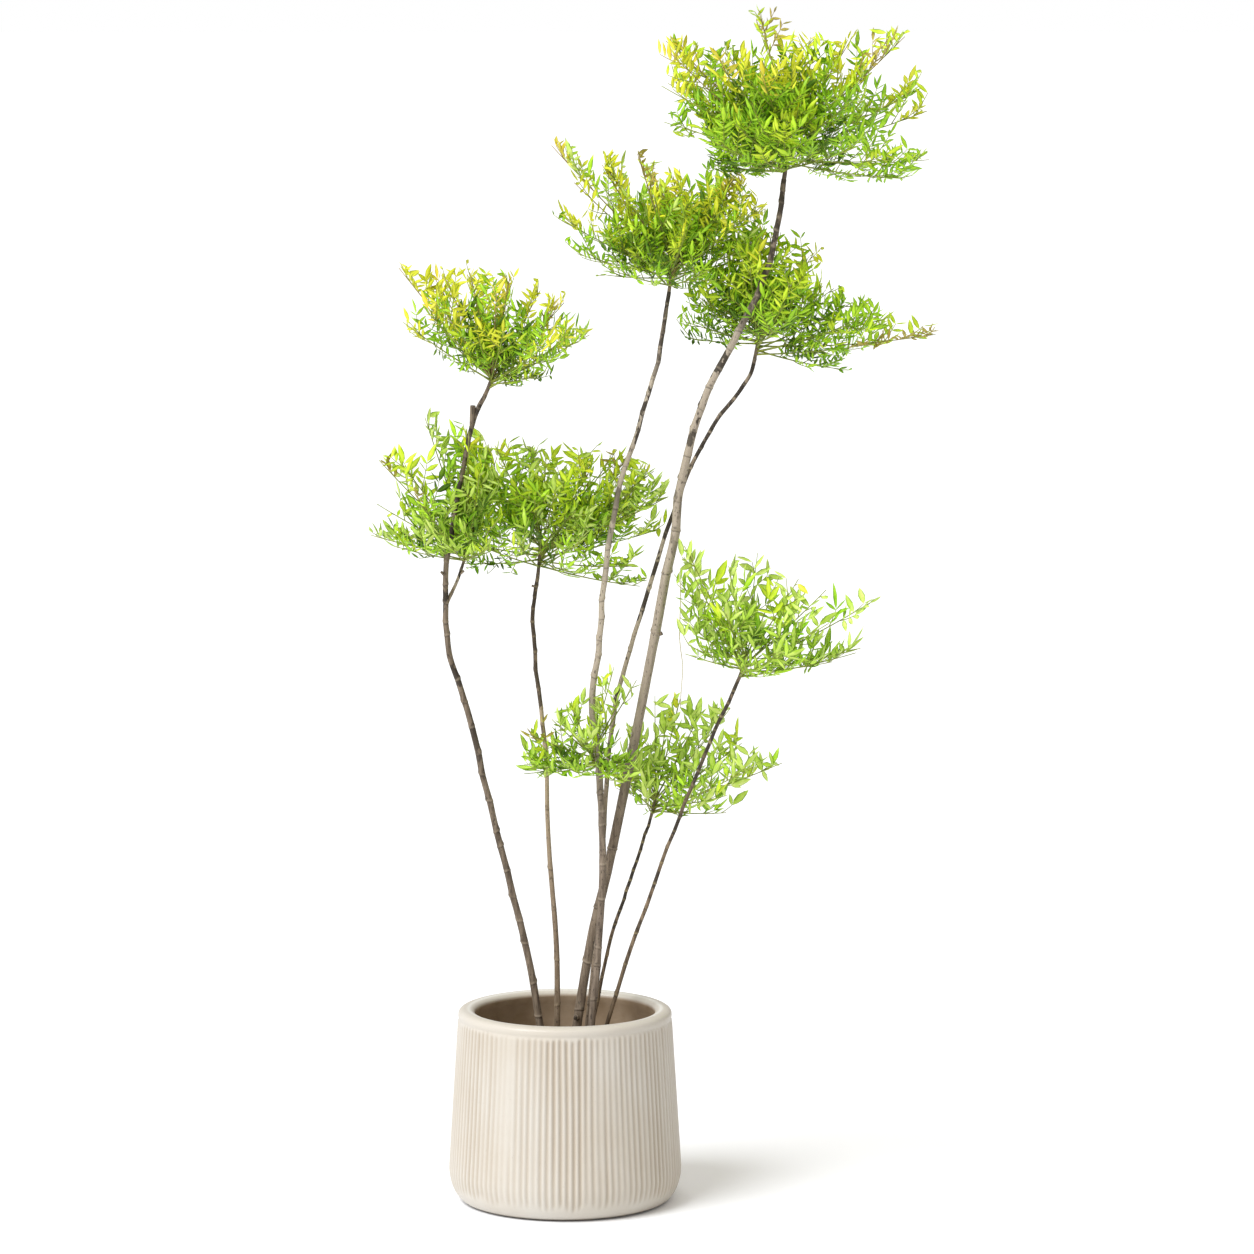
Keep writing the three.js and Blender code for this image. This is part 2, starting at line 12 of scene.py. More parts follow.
import bpy
import numpy as np
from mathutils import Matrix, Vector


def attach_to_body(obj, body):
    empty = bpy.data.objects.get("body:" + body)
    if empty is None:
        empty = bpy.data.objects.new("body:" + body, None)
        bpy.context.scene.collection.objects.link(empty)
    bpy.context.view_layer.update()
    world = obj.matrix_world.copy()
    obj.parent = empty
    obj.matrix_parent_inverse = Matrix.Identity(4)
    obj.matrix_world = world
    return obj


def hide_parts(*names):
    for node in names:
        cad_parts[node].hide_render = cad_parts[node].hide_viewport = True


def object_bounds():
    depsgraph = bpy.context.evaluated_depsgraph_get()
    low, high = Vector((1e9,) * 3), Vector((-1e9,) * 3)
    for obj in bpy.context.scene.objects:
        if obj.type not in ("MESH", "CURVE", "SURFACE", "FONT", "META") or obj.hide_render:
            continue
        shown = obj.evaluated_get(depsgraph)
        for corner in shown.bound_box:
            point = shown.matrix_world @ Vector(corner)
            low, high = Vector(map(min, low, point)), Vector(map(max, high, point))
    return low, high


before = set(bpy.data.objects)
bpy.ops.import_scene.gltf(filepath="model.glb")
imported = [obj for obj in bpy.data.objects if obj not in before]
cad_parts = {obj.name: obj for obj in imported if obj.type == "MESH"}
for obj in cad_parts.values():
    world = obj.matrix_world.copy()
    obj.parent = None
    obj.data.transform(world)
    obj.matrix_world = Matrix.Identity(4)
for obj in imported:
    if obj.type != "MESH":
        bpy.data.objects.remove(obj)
SOLIDS_BOX = [list(corner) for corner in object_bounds()]

log = logging.getLogger("potted plant")
Array = np.ndarray
Pair = tuple[float, float]
Triple = tuple[float, float, float]
Colour = Triple
Material = bpy.types.Material
Object = bpy.types.Object
Node = bpy.types.Node
Socket = bpy.types.NodeSocket
UP = np.array([0.0, 0.0, 1.0])
# A millimetre in metres. The lengths below are in millimetres.
MM = 0.001
# The air between a solid and what it is seated on.
SEAT_GAP = 0.3
# The least air between leaves and bark.
LIMB_GAP = 1.5
# The soil's level.
SOIL_TOP = 222.0
# How far leaves may stand outside the solids' box.
LEAF_MARGIN = 12.0
# How far leaves may pass the border between two crowns, as a share of the crown's half size.
SHARED_AIR = 0.3
# The turn round the shoot from one frond to the next, in degrees.
GOLDEN_ANGLE = 137.508


# Vectors and repeatable numbers


def unit(vectors: Array) -> Array:
    """The vectors divided by their lengths, whatever the number of axes before the last."""
    return vectors / np.maximum(np.linalg.norm(vectors, axis=-1, keepdims=True), 1e-12)


def turned(vectors: Array, axes: Array, angles: Array | float) -> Array:
    """Vectors turned about unit axes: v cos a + (axis x v) sin a + axis (axis . v)(1 - cos a).

    Args:
        vectors: What is turned, with x, y and z last.
        axes: The unit axis of each.
        angles: The angle of each, in radians.

    Returns:
        The turned vectors.
    """
    angles = np.asarray(angles)[..., None]
    along = np.sum(vectors * axes, axis=-1, keepdims=True)
    cosine, sine = np.cos(angles), np.sin(angles)
    return vectors * cosine + np.cross(axes, vectors) * sine + axes * along * (1 - cosine)


def ring_turns(count: int) -> Array:
    """Angles evenly round a circle, in radians: 2 pi k / count."""
    return np.arange(count) / count * 2 * np.pi


class Draws:
    """The source's own repeatable draws from 0 to 1 for one seed."""

    def __init__(self, seed: int) -> None:
        """Starts the row of numbers from a seed."""
        self.state = (seed * 7919 + 17) & 0xFFFFFFFF

    def __call__(self) -> float:
        """The next draw."""
        self.state = (self.state * 1664525 + 1013904223) & 0xFFFFFFFF
        return self.state / 4294967296


def ripples(turn: Array, along: Array, seed: int, lobes: tuple[int, int], pitch: float) -> Array:
    """Smooth random relief that closes on itself round a limb or a pot.

    The sum of waves sin(lobes . turn + slant . along / pitch + phase), divided by the root of their number.
    Each has its own whole number of lobes, its own slant between -1.4 and 1.4 and its own phase.

    Args:
        turn: Angles round the axis, in radians.
        along: Lengths along the axis, in the unit of the pitch.
        seed: The seed of the waves.
        lobes: The fewest and the most waves round the axis.
        pitch: The usual length of a wave along the axis, divided by 2 pi.

    Returns:
        Heights, mostly between -1 and 1.
    """
    chance = np.random.default_rng(seed)
    count, total = 9, 0.0
    for _ in range(count):
        wave = chance.integers(lobes[0], lobes[1] + 1)
        slant = chance.uniform(-1.4, 1.4)
        total = total + np.sin(wave * turn + along * slant / pitch + chance.uniform(0, 2 * np.pi))
    return total / math.sqrt(count)


# Surfaces


def ring_quads(rows: int, columns: int) -> Array:
    """The faces between rings of points, each ring closed on itself, as four point numbers each."""
    row, column = np.meshgrid(np.arange(rows - 1), np.arange(columns), indexing="ij")
    here, beside = row * columns + column, row * columns + (column + 1) % columns
    return np.stack([here, beside, beside + columns, here + columns], axis=-1).reshape(-1, 4)


@dataclass
class Surface:
    """Points and faces for one mesh, with a material number for each face and named values for the points."""

    points: list[Array] = field(default_factory=list)
    corners: list[Array] = field(default_factory=list)
    sizes: list[Array] = field(default_factory=list)
    dressed: list[Array] = field(default_factory=list)
    values: dict[str, list[Array]] = field(default_factory=dict)
    count: int = 0

    def add(self, points: Array, faces: list[Array], material: int | list[Array] = 0,
            **values: Array) -> None:
        """Adds points and the faces between them.

        Args:
            points: The points, in metres, with x, y and z last.
            faces: Arrays of faces, each with one row of point numbers for a face.
            material: The material number of all the faces, or one array for each array of faces.
            values: Named values, one for each point.
        """
        points = points.reshape(-1, 3)
        for number, group in enumerate(faces):
            self.corners.append((group + self.count).ravel())
            self.sizes.append(np.full(len(group), group.shape[1]))
            dress = material if isinstance(material, int) else material[number]
            self.dressed.append(np.broadcast_to(dress, len(group)))
        for name, value in values.items():
            self.values.setdefault(name, []).append(np.broadcast_to(value, len(points)))
        self.points.append(points)
        self.count += len(points)

    def piece(self, name: str, finishes: list[Material], slot: str,
              nodes: list[str]) -> Object:
        """Makes the mesh and its object, which rides on the plant's one body.

        Args:
            name: The name of the piece.
            finishes: Its materials, in the order of the faces' material numbers.
            slot: A material slot's name, which is not used.
            nodes: The solids that it stands for.

        Returns:
            The new object.
        """
        mesh = bpy.data.meshes.new(name)
        sizes = np.concatenate(self.sizes)
        corners = np.concatenate(self.corners)
        mesh.vertices.add(self.count)
        mesh.vertices.foreach_set("co", np.concatenate(self.points).astype(np.float32).ravel())
        mesh.loops.add(len(corners))
        mesh.loops.foreach_set("vertex_index", corners.astype(np.int32))
        mesh.polygons.add(len(sizes))
        mesh.polygons.foreach_set("loop_start", (np.cumsum(sizes) - sizes).astype(np.int32))
        mesh.polygons.foreach_set("material_index", np.concatenate(self.dressed).astype(np.int32))
        mesh.polygons.foreach_set("use_smooth", np.ones(len(sizes), bool))
        for key, value in self.values.items():
            layer = mesh.attributes.new(key, "FLOAT", "POINT")
            layer.data.foreach_set("value", np.concatenate(value).astype(np.float32))
        mesh.update(calc_edges=True)
        mesh.validate()
        for finish in finishes:
            mesh.materials.append(finish)
        made = bpy.data.objects.new(name, mesh)
        bpy.context.scene.collection.objects.link(made)
        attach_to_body(made, "root")
        if nodes:
            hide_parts(*nodes)
        triangles, stood_for = int((sizes - 2).sum()), ", ".join(nodes) or "no solid"
        log.info("%s: %d triangles, stands for %s", name, triangles, stood_for)
        return made


def tubes(paths: Array, radii: Array, sides: int) -> tuple[Array, list[Array]]:
    """Closed tubes along many lines at once.

    A point of a ring is centre + radius (cos turn . across + sin turn . other), where across and other stand
    square on the line. Both ends are closed by one flat face.

    Args:
        paths: The lines' points: tube, row, then x, y and z.
        radii: The radius at each: tube, row, and then one number or one for each side.
        sides: How many points a ring has.

    Returns:
        The points, and the arrays of faces.
    """
    count, rows, _ = paths.shape
    ahead = unit(np.gradient(paths, axis=1))
    least = np.argmin(np.abs(ahead.mean(axis=1)), axis=-1)
    across = unit(np.cross(np.eye(3)[least][:, None, :], ahead))
    other = np.cross(ahead, across)
    turn = ring_turns(sides)[:, None]
    spokes = np.cos(turn) * across[:, :, None, :] + np.sin(turn) * other[:, :, None, :]
    points = paths[:, :, None, :] + np.broadcast_to(radii, (count, rows, sides))[..., None] * spokes
    starts = np.arange(count) * rows * sides
    quads = (ring_quads(rows, sides)[None] + starts[:, None, None]).reshape(-1, 4)
    ring = np.arange(sides)
    feet = starts[:, None] + ring[::-1]
    tips = starts[:, None] + (rows - 1) * sides + ring
    return points, [quads, feet, tips]


def revolved(radius: Array, height: Array) -> tuple[Array, list[Array]]:
    """A closed surface round the Z axis, from one pole to the other.

    A point is (radius cos turn, radius sin turn, height). The first and last rings are joined to one point
    each.

    Args:
        radius: The radius at each row and column.
        height: The height at each row and column.

    Returns:
        The points, with the two poles last, and the arrays of faces.
    """
    rows, columns = radius.shape
    turn = ring_turns(columns)
    points = np.stack([radius * np.cos(turn), radius * np.sin(turn), height], axis=-1).reshape(-1, 3)
    poles = np.array([[0, 0, height[0].mean()], [0, 0, height[-1].mean()]])
    ring = np.arange(columns)
    after, top = (ring + 1) % columns, (rows - 1) * columns
    first, last = rows * columns, rows * columns + 1
    start = np.stack([np.full(columns, first), after, ring], axis=-1)
    end = np.stack([top + ring, top + after, np.full(columns, last)], axis=-1)
    return np.concatenate([points, poles]), [ring_quads(rows, columns), start, end]


# Finishes


class Steps:
    """Adds nodes to one tree and joins them, so that a finish reads as a list of steps."""

    def __init__(self, tree: bpy.types.NodeTree) -> None:
        """Works on a material's or a group's tree."""
        self.tree = tree

    def add(self, kind: str, inputs: dict[str | int, object], **settings: object) -> Node:
        """Adds a node.

        Args:
            kind: Blender's name for the node.
            inputs: What goes into each socket: a value, or another node's output.
            settings: The node's own settings.

        Returns:
            The new node.
        """
        node = self.tree.nodes.new(kind)
        for name, value in settings.items():
            setattr(node, name, value)
        for key, value in inputs.items():
            if isinstance(value, Socket):
                self.tree.links.new(value, node.inputs[key])
            else:
                node.inputs[key].default_value = value
        return node

    def mix(self, mask: object, one: object, two: object) -> Socket:
        """A colour between two others: the first where the mask is 0, and the second where it is 1."""
        ends = [end if isinstance(end, Socket) else (*end, 1.0) for end in (one, two)]
        return self.add("ShaderNodeMix", {0: mask, 6: ends[0], 7: ends[1]}, data_type="RGBA").outputs[2]

    def between(self, value: object, low: float, high: float) -> Socket:
        """The value carried to 0 at low and 1 at high, and held there beyond them."""
        made = self.add("ShaderNodeMapRange", {"Value": value, "From Min": low, "From Max": high})
        return made.outputs["Result"]

    def times(self, one: object, two: object) -> Socket:
        """The product of two numbers."""
        return self.add("ShaderNodeMath", {0: one, 1: two}, operation="MULTIPLY").outputs[0]

    def value_of(self, name: str) -> Socket:
        """A named value of the piece's points."""
        return self.add("ShaderNodeAttribute", {}, attribute_name=name).outputs["Fac"]

    def group(self, name: str, inputs: dict[str, object]) -> Socket:
        """The first output of a shared group with its inputs set."""
        node = self.tree.nodes.new("ShaderNodeGroup")
        node.node_tree = bpy.data.node_groups[name]
        for key, value in inputs.items():
            node.inputs[key].default_value = value
        return node.outputs[0]

    def patches(self, size: float, low: float, high: float, stretch: float = 1.0) -> Socket:
        """A mask of soft patches, 0 where the noise is low and 1 where it is high."""
        return self.group("patches", {"Scale": size, "Stretch": stretch, "From": low, "To": high})

    def grain(self, size: float, coarse: float, stretch: float = 1.0) -> Socket:
        """A height for relief."""
        return self.group("grain", {"Scale": size, "Stretch": stretch, "Coarse": coarse})


def shared_group(name: str, inputs: dict[str, float],
                 output: str) -> tuple[Steps, Node, Node]:
    """Starts a group of nodes that several finishes share.

    Args:
        name: The group's name.
        inputs: Its number inputs and their usual values.
        output: The name of its one output.

    Returns:
        The steps to build it with, its input node and its output node.
    """
    tree = bpy.data.node_groups.new(name, "ShaderNodeTree")
    for key, value in inputs.items():
        tree.interface.new_socket(key, in_out="INPUT", socket_type="NodeSocketFloat").default_value = value
    tree.interface.new_socket(output, in_out="OUTPUT", socket_type="NodeSocketFloat")
    steps = Steps(tree)
    return steps, steps.add("NodeGroupInput", {}), steps.add("NodeGroupOutput", {})


def on_object(steps: Steps, given: Node) -> Socket:
    """The place on the object, (x, y, z . Stretch), where Stretch is an input of the group."""
    place = steps.add("ShaderNodeTexCoord", {}).outputs["Object"]
    squash = steps.add("ShaderNodeCombineXYZ", {0: 1.0, 1: 1.0, 2: given.outputs["Stretch"]}).outputs[0]
    return steps.add("ShaderNodeVectorMath", {0: place, 1: squash}, operation="MULTIPLY").outputs[0]


def make_patches_group() -> None:
    """The group "patches": a mask of soft patches from noise, with a size and a stretch along Z."""
    names = {"Scale": 20.0, "Stretch": 1.0, "From": 0.4, "To": 0.6}
    steps, given, result = shared_group("patches", names, "Mask")
    noise = steps.add("ShaderNodeTexNoise", {
        "Vector": on_object(steps, given), "Scale": given.outputs["Scale"], "Detail": 4.0})
    mask = steps.between(noise.outputs[0], given.outputs["From"], given.outputs["To"])
    steps.tree.links.new(mask, result.inputs["Mask"])


def make_grain_group() -> None:
    """The group "grain": a height that mixes a fine and a coarse noise, so no surface is quite smooth."""
    steps, given, result = shared_group("grain", {"Scale": 400.0, "Stretch": 1.0, "Coarse": 0.5}, "Height")
    place = on_object(steps, given)
    fine = steps.add("ShaderNodeTexNoise", {
        "Vector": place, "Scale": given.outputs["Scale"], "Detail": 3.0})
    wide = steps.add("ShaderNodeTexNoise", {
        "Vector": place, "Scale": steps.times(given.outputs["Scale"], 0.2), "Detail": 2.0})
    mixed = steps.add("ShaderNodeMath", {
        0: steps.times(wide.outputs[0], given.outputs["Coarse"]), 1: fine.outputs[0]}, operation="ADD")
    steps.tree.links.new(mixed.outputs[0], result.inputs["Height"])


def material_from(steps: Steps, made: Material, colour: object, height: object,
                  depth: float, roughness: object, **sockets: float) -> Material:
    """Ends a finish with its shader: colour, roughness and relief, and plain numbers for the rest.

    Args:
        steps: The steps on the material's tree.
        made: The material.
        colour: The socket of its colour.
        height: The socket of its relief.
        depth: How deep the relief is, in metres.
        roughness: The socket of its roughness, or one number.
        sockets: Other sockets of the shader, with _ for a space.

    Returns:
        The finished material.
    """
    relief = steps.add("ShaderNodeBump", {"Height": height, "Distance": depth, "Strength": 1.0})
    inputs = {"Base Color": colour, "Roughness": roughness, "Normal": relief.outputs["Normal"]}
    inputs.update({key.replace("_", " "): value for key, value in sockets.items()})
    shader = steps.add("ShaderNodeBsdfPrincipled", inputs)
    end = steps.add("ShaderNodeOutputMaterial", {})
    steps.tree.links.new(shader.outputs["BSDF"], end.inputs["Surface"])
    return made


def new_material(name: str) -> tuple[Material, Steps]:
    """An empty material and the steps to build it with."""
    made = bpy.data.materials.new(name)
    made.use_nodes = True
    made.node_tree.nodes.clear()
    return made, Steps(made.node_tree)


@dataclass(frozen=True)
class GlazeFinish:
    """The pot's matte cream glaze: finely speckled and brown inside, with painted light and shade as well.

    The grooves are darker and warmer, partly glaze pooling and partly painted shade. A painted highlight runs
    round the lip's inner edge, and the foot has a painted contact shade, given as bare clay.
    """

    cream: Colour = (0.667, 0.63, 0.568)
    warm: Colour = (0.62, 0.565, 0.485)
    # Darker, warmer glaze in the grooves: partly glaze pooling, partly painted shade.
    groove: Colour = (0.40, 0.32, 0.225)
    # The foot's dark band: a painted contact shade, given as bare clay.
    bare: Colour = (0.13, 0.095, 0.06)
    speck: Colour = (0.40, 0.33, 0.24)
    clay: Colour = (0.34, 0.235, 0.14)
    dust: Colour = (0.50, 0.38, 0.26)
    # A painted highlight round the lip's inner edge.
    lip: Colour = (0.88, 0.87, 0.83)
    relief: float = 0.00018

    def make(self) -> Material:
        """Builds the material."""
        made, steps = new_material("glaze")
        warmth = steps.patches(7.0, 0.35, 0.7)
        tone = steps.mix(warmth, self.cream, self.warm)
        # The grooves take the darker glaze: partly glaze pooling, partly painted shade.
        tone = steps.mix(steps.times(steps.value_of("groove"), 0.62), tone, self.groove)
        # Painted highlight: the lip's inner edge is made lighter.
        tone = steps.mix(steps.times(steps.value_of("rim"), 0.8), tone, self.lip)
        speckle = steps.patches(520.0, 0.66, 0.74)
        tone = steps.mix(steps.times(speckle, 0.55), tone, self.speck)
        dusty = steps.patches(25.0, 0.3, 0.7)
        inside = steps.mix(dusty, self.clay, self.dust)
        tone = steps.mix(steps.value_of("inside"), tone, inside)
        # Painted contact shade at the foot, given as bare clay.
        tone = steps.mix(steps.value_of("foot"), tone, self.bare)
        rough = steps.patches(60.0, -0.9, 1.3)
        grain = steps.grain(900.0, 0.6)
        coat = {"Coat_Weight": 0.35, "Coat_Roughness": 0.22}
        return material_from(steps, made, tone, grain, self.relief, rough, **coat)


@dataclass(frozen=True)
class PlainFinish:
    """A surface of two colours in patches, rough as soil unless it is told otherwise.

    patches holds their size and the values of noise between which the colours change, and grain the size and
    the coarseness of the relief.
    """

    name: str
    ground: Colour
    pale: Colour
    patches: Triple = (260.0, 0.35, 0.7)
    grain: Pair = (700.0, 1.0)
    relief: float = 0.0006
    roughness: float = 0.95

    def make(self) -> Material:
        """Builds the material."""
        made, steps = new_material(self.name)
        tone = steps.mix(steps.patches(*self.patches), self.ground, self.pale)
        return material_from(steps, made, tone, steps.grain(*self.grain), self.relief, self.roughness)


@dataclass(frozen=True)
class BarkFinish:
    """A cane's bark: long streaks, a bleached stretch, dark blotches, flecks, pale collars and dark scars.

    bleached holds the shares of the cane's length between which the bark is bleached, and spotted those over
    which the blotches set in.
    """

    name: str
    ground: Colour
    pale: Colour
    dark: Colour
    collar: Colour
    young: Colour
    blotches: float = 0.5
    bleached: Pair = (0.4, 0.9)
    spotted: Pair = (0.1, 0.5)
    relief: float = 0.0005

    def make(self) -> Material:
        """Builds the material."""
        made, steps = new_material(self.name)
        age = steps.value_of("age")
        start, stop = self.bleached
        streak = steps.patches(240.0, 0.36, 0.64, 0.12)
        tone = steps.mix(streak, self.ground, self.pale)
        rising = steps.between(age, start, start + 0.3)
        falling = steps.between(age, stop + 0.04, stop - 0.02)
        tone = steps.mix(steps.times(steps.times(rising, falling), 0.88), tone, self.young)
        blotch = steps.patches(58.0, 0.61 - 0.16 * self.blotches, 0.63 - 0.14 * self.blotches, 0.45)
        spotted = steps.between(age, *self.spotted)
        tone = steps.mix(steps.times(blotch, steps.times(spotted, 0.95)), tone, self.dark)
        tip = steps.between(age, stop - 0.04, stop + 0.03)
        knobs = steps.patches(95.0, 0.42, 0.5, 0.6)
        tone = steps.mix(steps.times(steps.times(tip, knobs), 0.9), tone, self.dark)
        fleck = steps.patches(300.0, 0.6, 0.66, 0.5)
        tone = steps.mix(steps.times(fleck, 0.7), tone, self.dark)
        tone = steps.mix(steps.times(steps.value_of("collar"), 0.8), tone, self.collar)
        tone = steps.mix(steps.times(steps.value_of("scar"), 0.9), tone, self.dark)
        grain = steps.grain(800.0, 0.8, 0.2)
        rough = steps.patches(90.0, -1.3, 1.2, 0.3)
        return material_from(steps, made, tone, grain, self.relief, rough)


@dataclass(frozen=True)
class LeafFinish:
    """A leaf's satin skin: paler in patches and on the midrib, and a painted shade along the margin."""

    name: str
    tone: Colour
    pale: Colour
    rib: Colour
    # A painted shade, dark along the leaf's margin.
    edge: Colour
    relief: float = 0.0002
    roughness: float = 0.45

    def make(self) -> Material:
        """Builds the material."""
        made, steps = new_material(self.name)
        patch = steps.patches(85.0, 0.42, 0.6)
        colour = steps.mix(patch, self.tone, self.pale)
        midrib = steps.between(steps.value_of("midrib"), 0.8, 0.97)
        colour = steps.mix(steps.times(midrib, 0.55), colour, self.rib)
        # Painted shade: the leaf is darkened along its margin.
        margin = steps.between(steps.value_of("midrib"), 0.4, 0.12)
        colour = steps.mix(steps.times(margin, 0.8), colour, self.edge)
        grain = steps.grain(500.0, 0.6)
        return material_from(
            steps, made, colour, grain, self.relief, self.roughness, Specular_IOR_Level=0.25)


class Tone(IntEnum):
    """The leaf tones in the order of the leaves' materials, the last three for light green crowns."""

    # From DEEP to SUNNY and from SHADED to PALE the tones are darker and lighter steps of one leaf, taken by
    # height and distance out: partly young growth, partly painted light and shade.
    DEEP = 0
    MID = 1
    FRESH = 2
    LIME = 3
    SUNNY = 4
    YELLOW = 5
    BRONZE = 6
    SHADED = 7
    SPRING = 8
    PALE = 9


# What each tone becomes in a spray of a light green crown.
LIGHT_GREEN = {Tone.DEEP: Tone.MID, Tone.MID: Tone.SHADED, Tone.FRESH: Tone.SPRING, Tone.LIME: Tone.PALE,
               Tone.SUNNY: Tone.PALE}
# Each tone's colours: its own, a pale one for patches, the midrib's, and a dark one that is a painted shade
# along the margin.
LEAVES = {tone: LeafFinish(f"leaf_{tone.name.lower()}", *colours) for tone, colours in {
    Tone.DEEP: ((0.07, 0.165, 0.006), (0.17, 0.33, 0.012), (0.22, 0.37, 0.05), (0.025, 0.065, 0.004)),
    Tone.MID: ((0.25, 0.54, 0.014), (0.47, 0.82, 0.030), (0.50, 0.71, 0.09), (0.05, 0.13, 0.006)),
    Tone.FRESH: ((0.42, 0.77, 0.018), (0.60, 0.92, 0.038), (0.64, 0.83, 0.13), (0.09, 0.20, 0.008)),
    Tone.LIME: ((0.61, 0.86, 0.018), (0.78, 0.95, 0.05), (0.77, 0.89, 0.17), (0.17, 0.28, 0.010)),
    Tone.SUNNY: ((0.80, 0.86, 0.020), (0.92, 0.94, 0.06), (0.86, 0.88, 0.20), (0.28, 0.30, 0.012)),
    Tone.YELLOW: ((0.86, 0.74, 0.04), (0.92, 0.86, 0.10), (0.90, 0.78, 0.20), (0.36, 0.26, 0.03)),
    Tone.BRONZE: ((0.44, 0.37, 0.06), (0.60, 0.55, 0.10), (0.50, 0.34, 0.11), (0.18, 0.09, 0.03)),
    Tone.SHADED: ((0.32, 0.55, 0.025), (0.52, 0.76, 0.07), (0.50, 0.69, 0.12), (0.05, 0.12, 0.008)),
    Tone.SPRING: ((0.48, 0.75, 0.050), (0.67, 0.90, 0.15), (0.67, 0.84, 0.22), (0.08, 0.18, 0.015)),
    Tone.PALE: ((0.60, 0.86, 0.11), (0.76, 0.92, 0.24), (0.77, 0.91, 0.30), (0.14, 0.26, 0.030)),
}.items()}


class Stalk(IntEnum):
    """The stalk finishes in the order of the twigs' materials."""

    GREEN = 0
    BRONZE = 1
    WOOD = 2


# The patches, grain, relief and roughness of green stalks and twigs.
SATIN = ((70.0, 0.35, 0.65), (900.0, 0.4), 0.0002, 0.5)
STALKS = {
    Stalk.GREEN: PlainFinish("stalk_green", (0.20, 0.27, 0.03), (0.38, 0.42, 0.07), *SATIN),
    Stalk.BRONZE: PlainFinish("stalk_bronze", (0.28, 0.20, 0.08), (0.42, 0.33, 0.12), *SATIN),
    Stalk.WOOD: PlainFinish("stalk_wood", (0.10, 0.07, 0.045), (0.22, 0.16, 0.10), *SATIN),
}
STRAW = PlainFinish("straw", (0.62, 0.55, 0.38), (0.72, 0.68, 0.48), *SATIN)
BARKS = {name: BarkFinish(f"bark_{name}", *row) for name, row in {
    "grey": ((0.115, 0.083, 0.056), (0.24, 0.185, 0.13), (0.03, 0.021, 0.013), (0.36, 0.29, 0.21),
             (0.20, 0.15, 0.10), 0.65, (0.6, 0.93), (0.1, 0.6)),
    "ashen": ((0.13, 0.097, 0.07), (0.27, 0.21, 0.155), (0.045, 0.033, 0.023), (0.40, 0.33, 0.25),
              (0.56, 0.48, 0.38), 0.5, (0.3, 0.9), (0.6, 0.8)),
    "taupe": ((0.125, 0.09, 0.06), (0.24, 0.185, 0.13), (0.04, 0.029, 0.018), (0.38, 0.31, 0.23),
              (0.46, 0.39, 0.305), 0.55, (0.26, 0.84), (0.5, 0.72)),
    "brown": ((0.19, 0.134, 0.084), (0.32, 0.24, 0.16), (0.06, 0.042, 0.026), (0.36, 0.28, 0.18),
              (0.46, 0.36, 0.24), 0.6, (0.3, 0.75), (0.35, 0.8)),
    "pale": ((0.20, 0.15, 0.105), (0.36, 0.28, 0.20), (0.035, 0.025, 0.016), (0.46, 0.38, 0.27),
             (0.50, 0.42, 0.32), 0.75, (0.3, 0.74), (0.3, 0.5)),
    "dark": ((0.105, 0.07, 0.04), (0.27, 0.195, 0.12), (0.03, 0.022, 0.013), (0.42, 0.34, 0.17),
             (0.10, 0.075, 0.04), 0.6, (0.5, 0.9)),
}.items()}


# Pot and soil


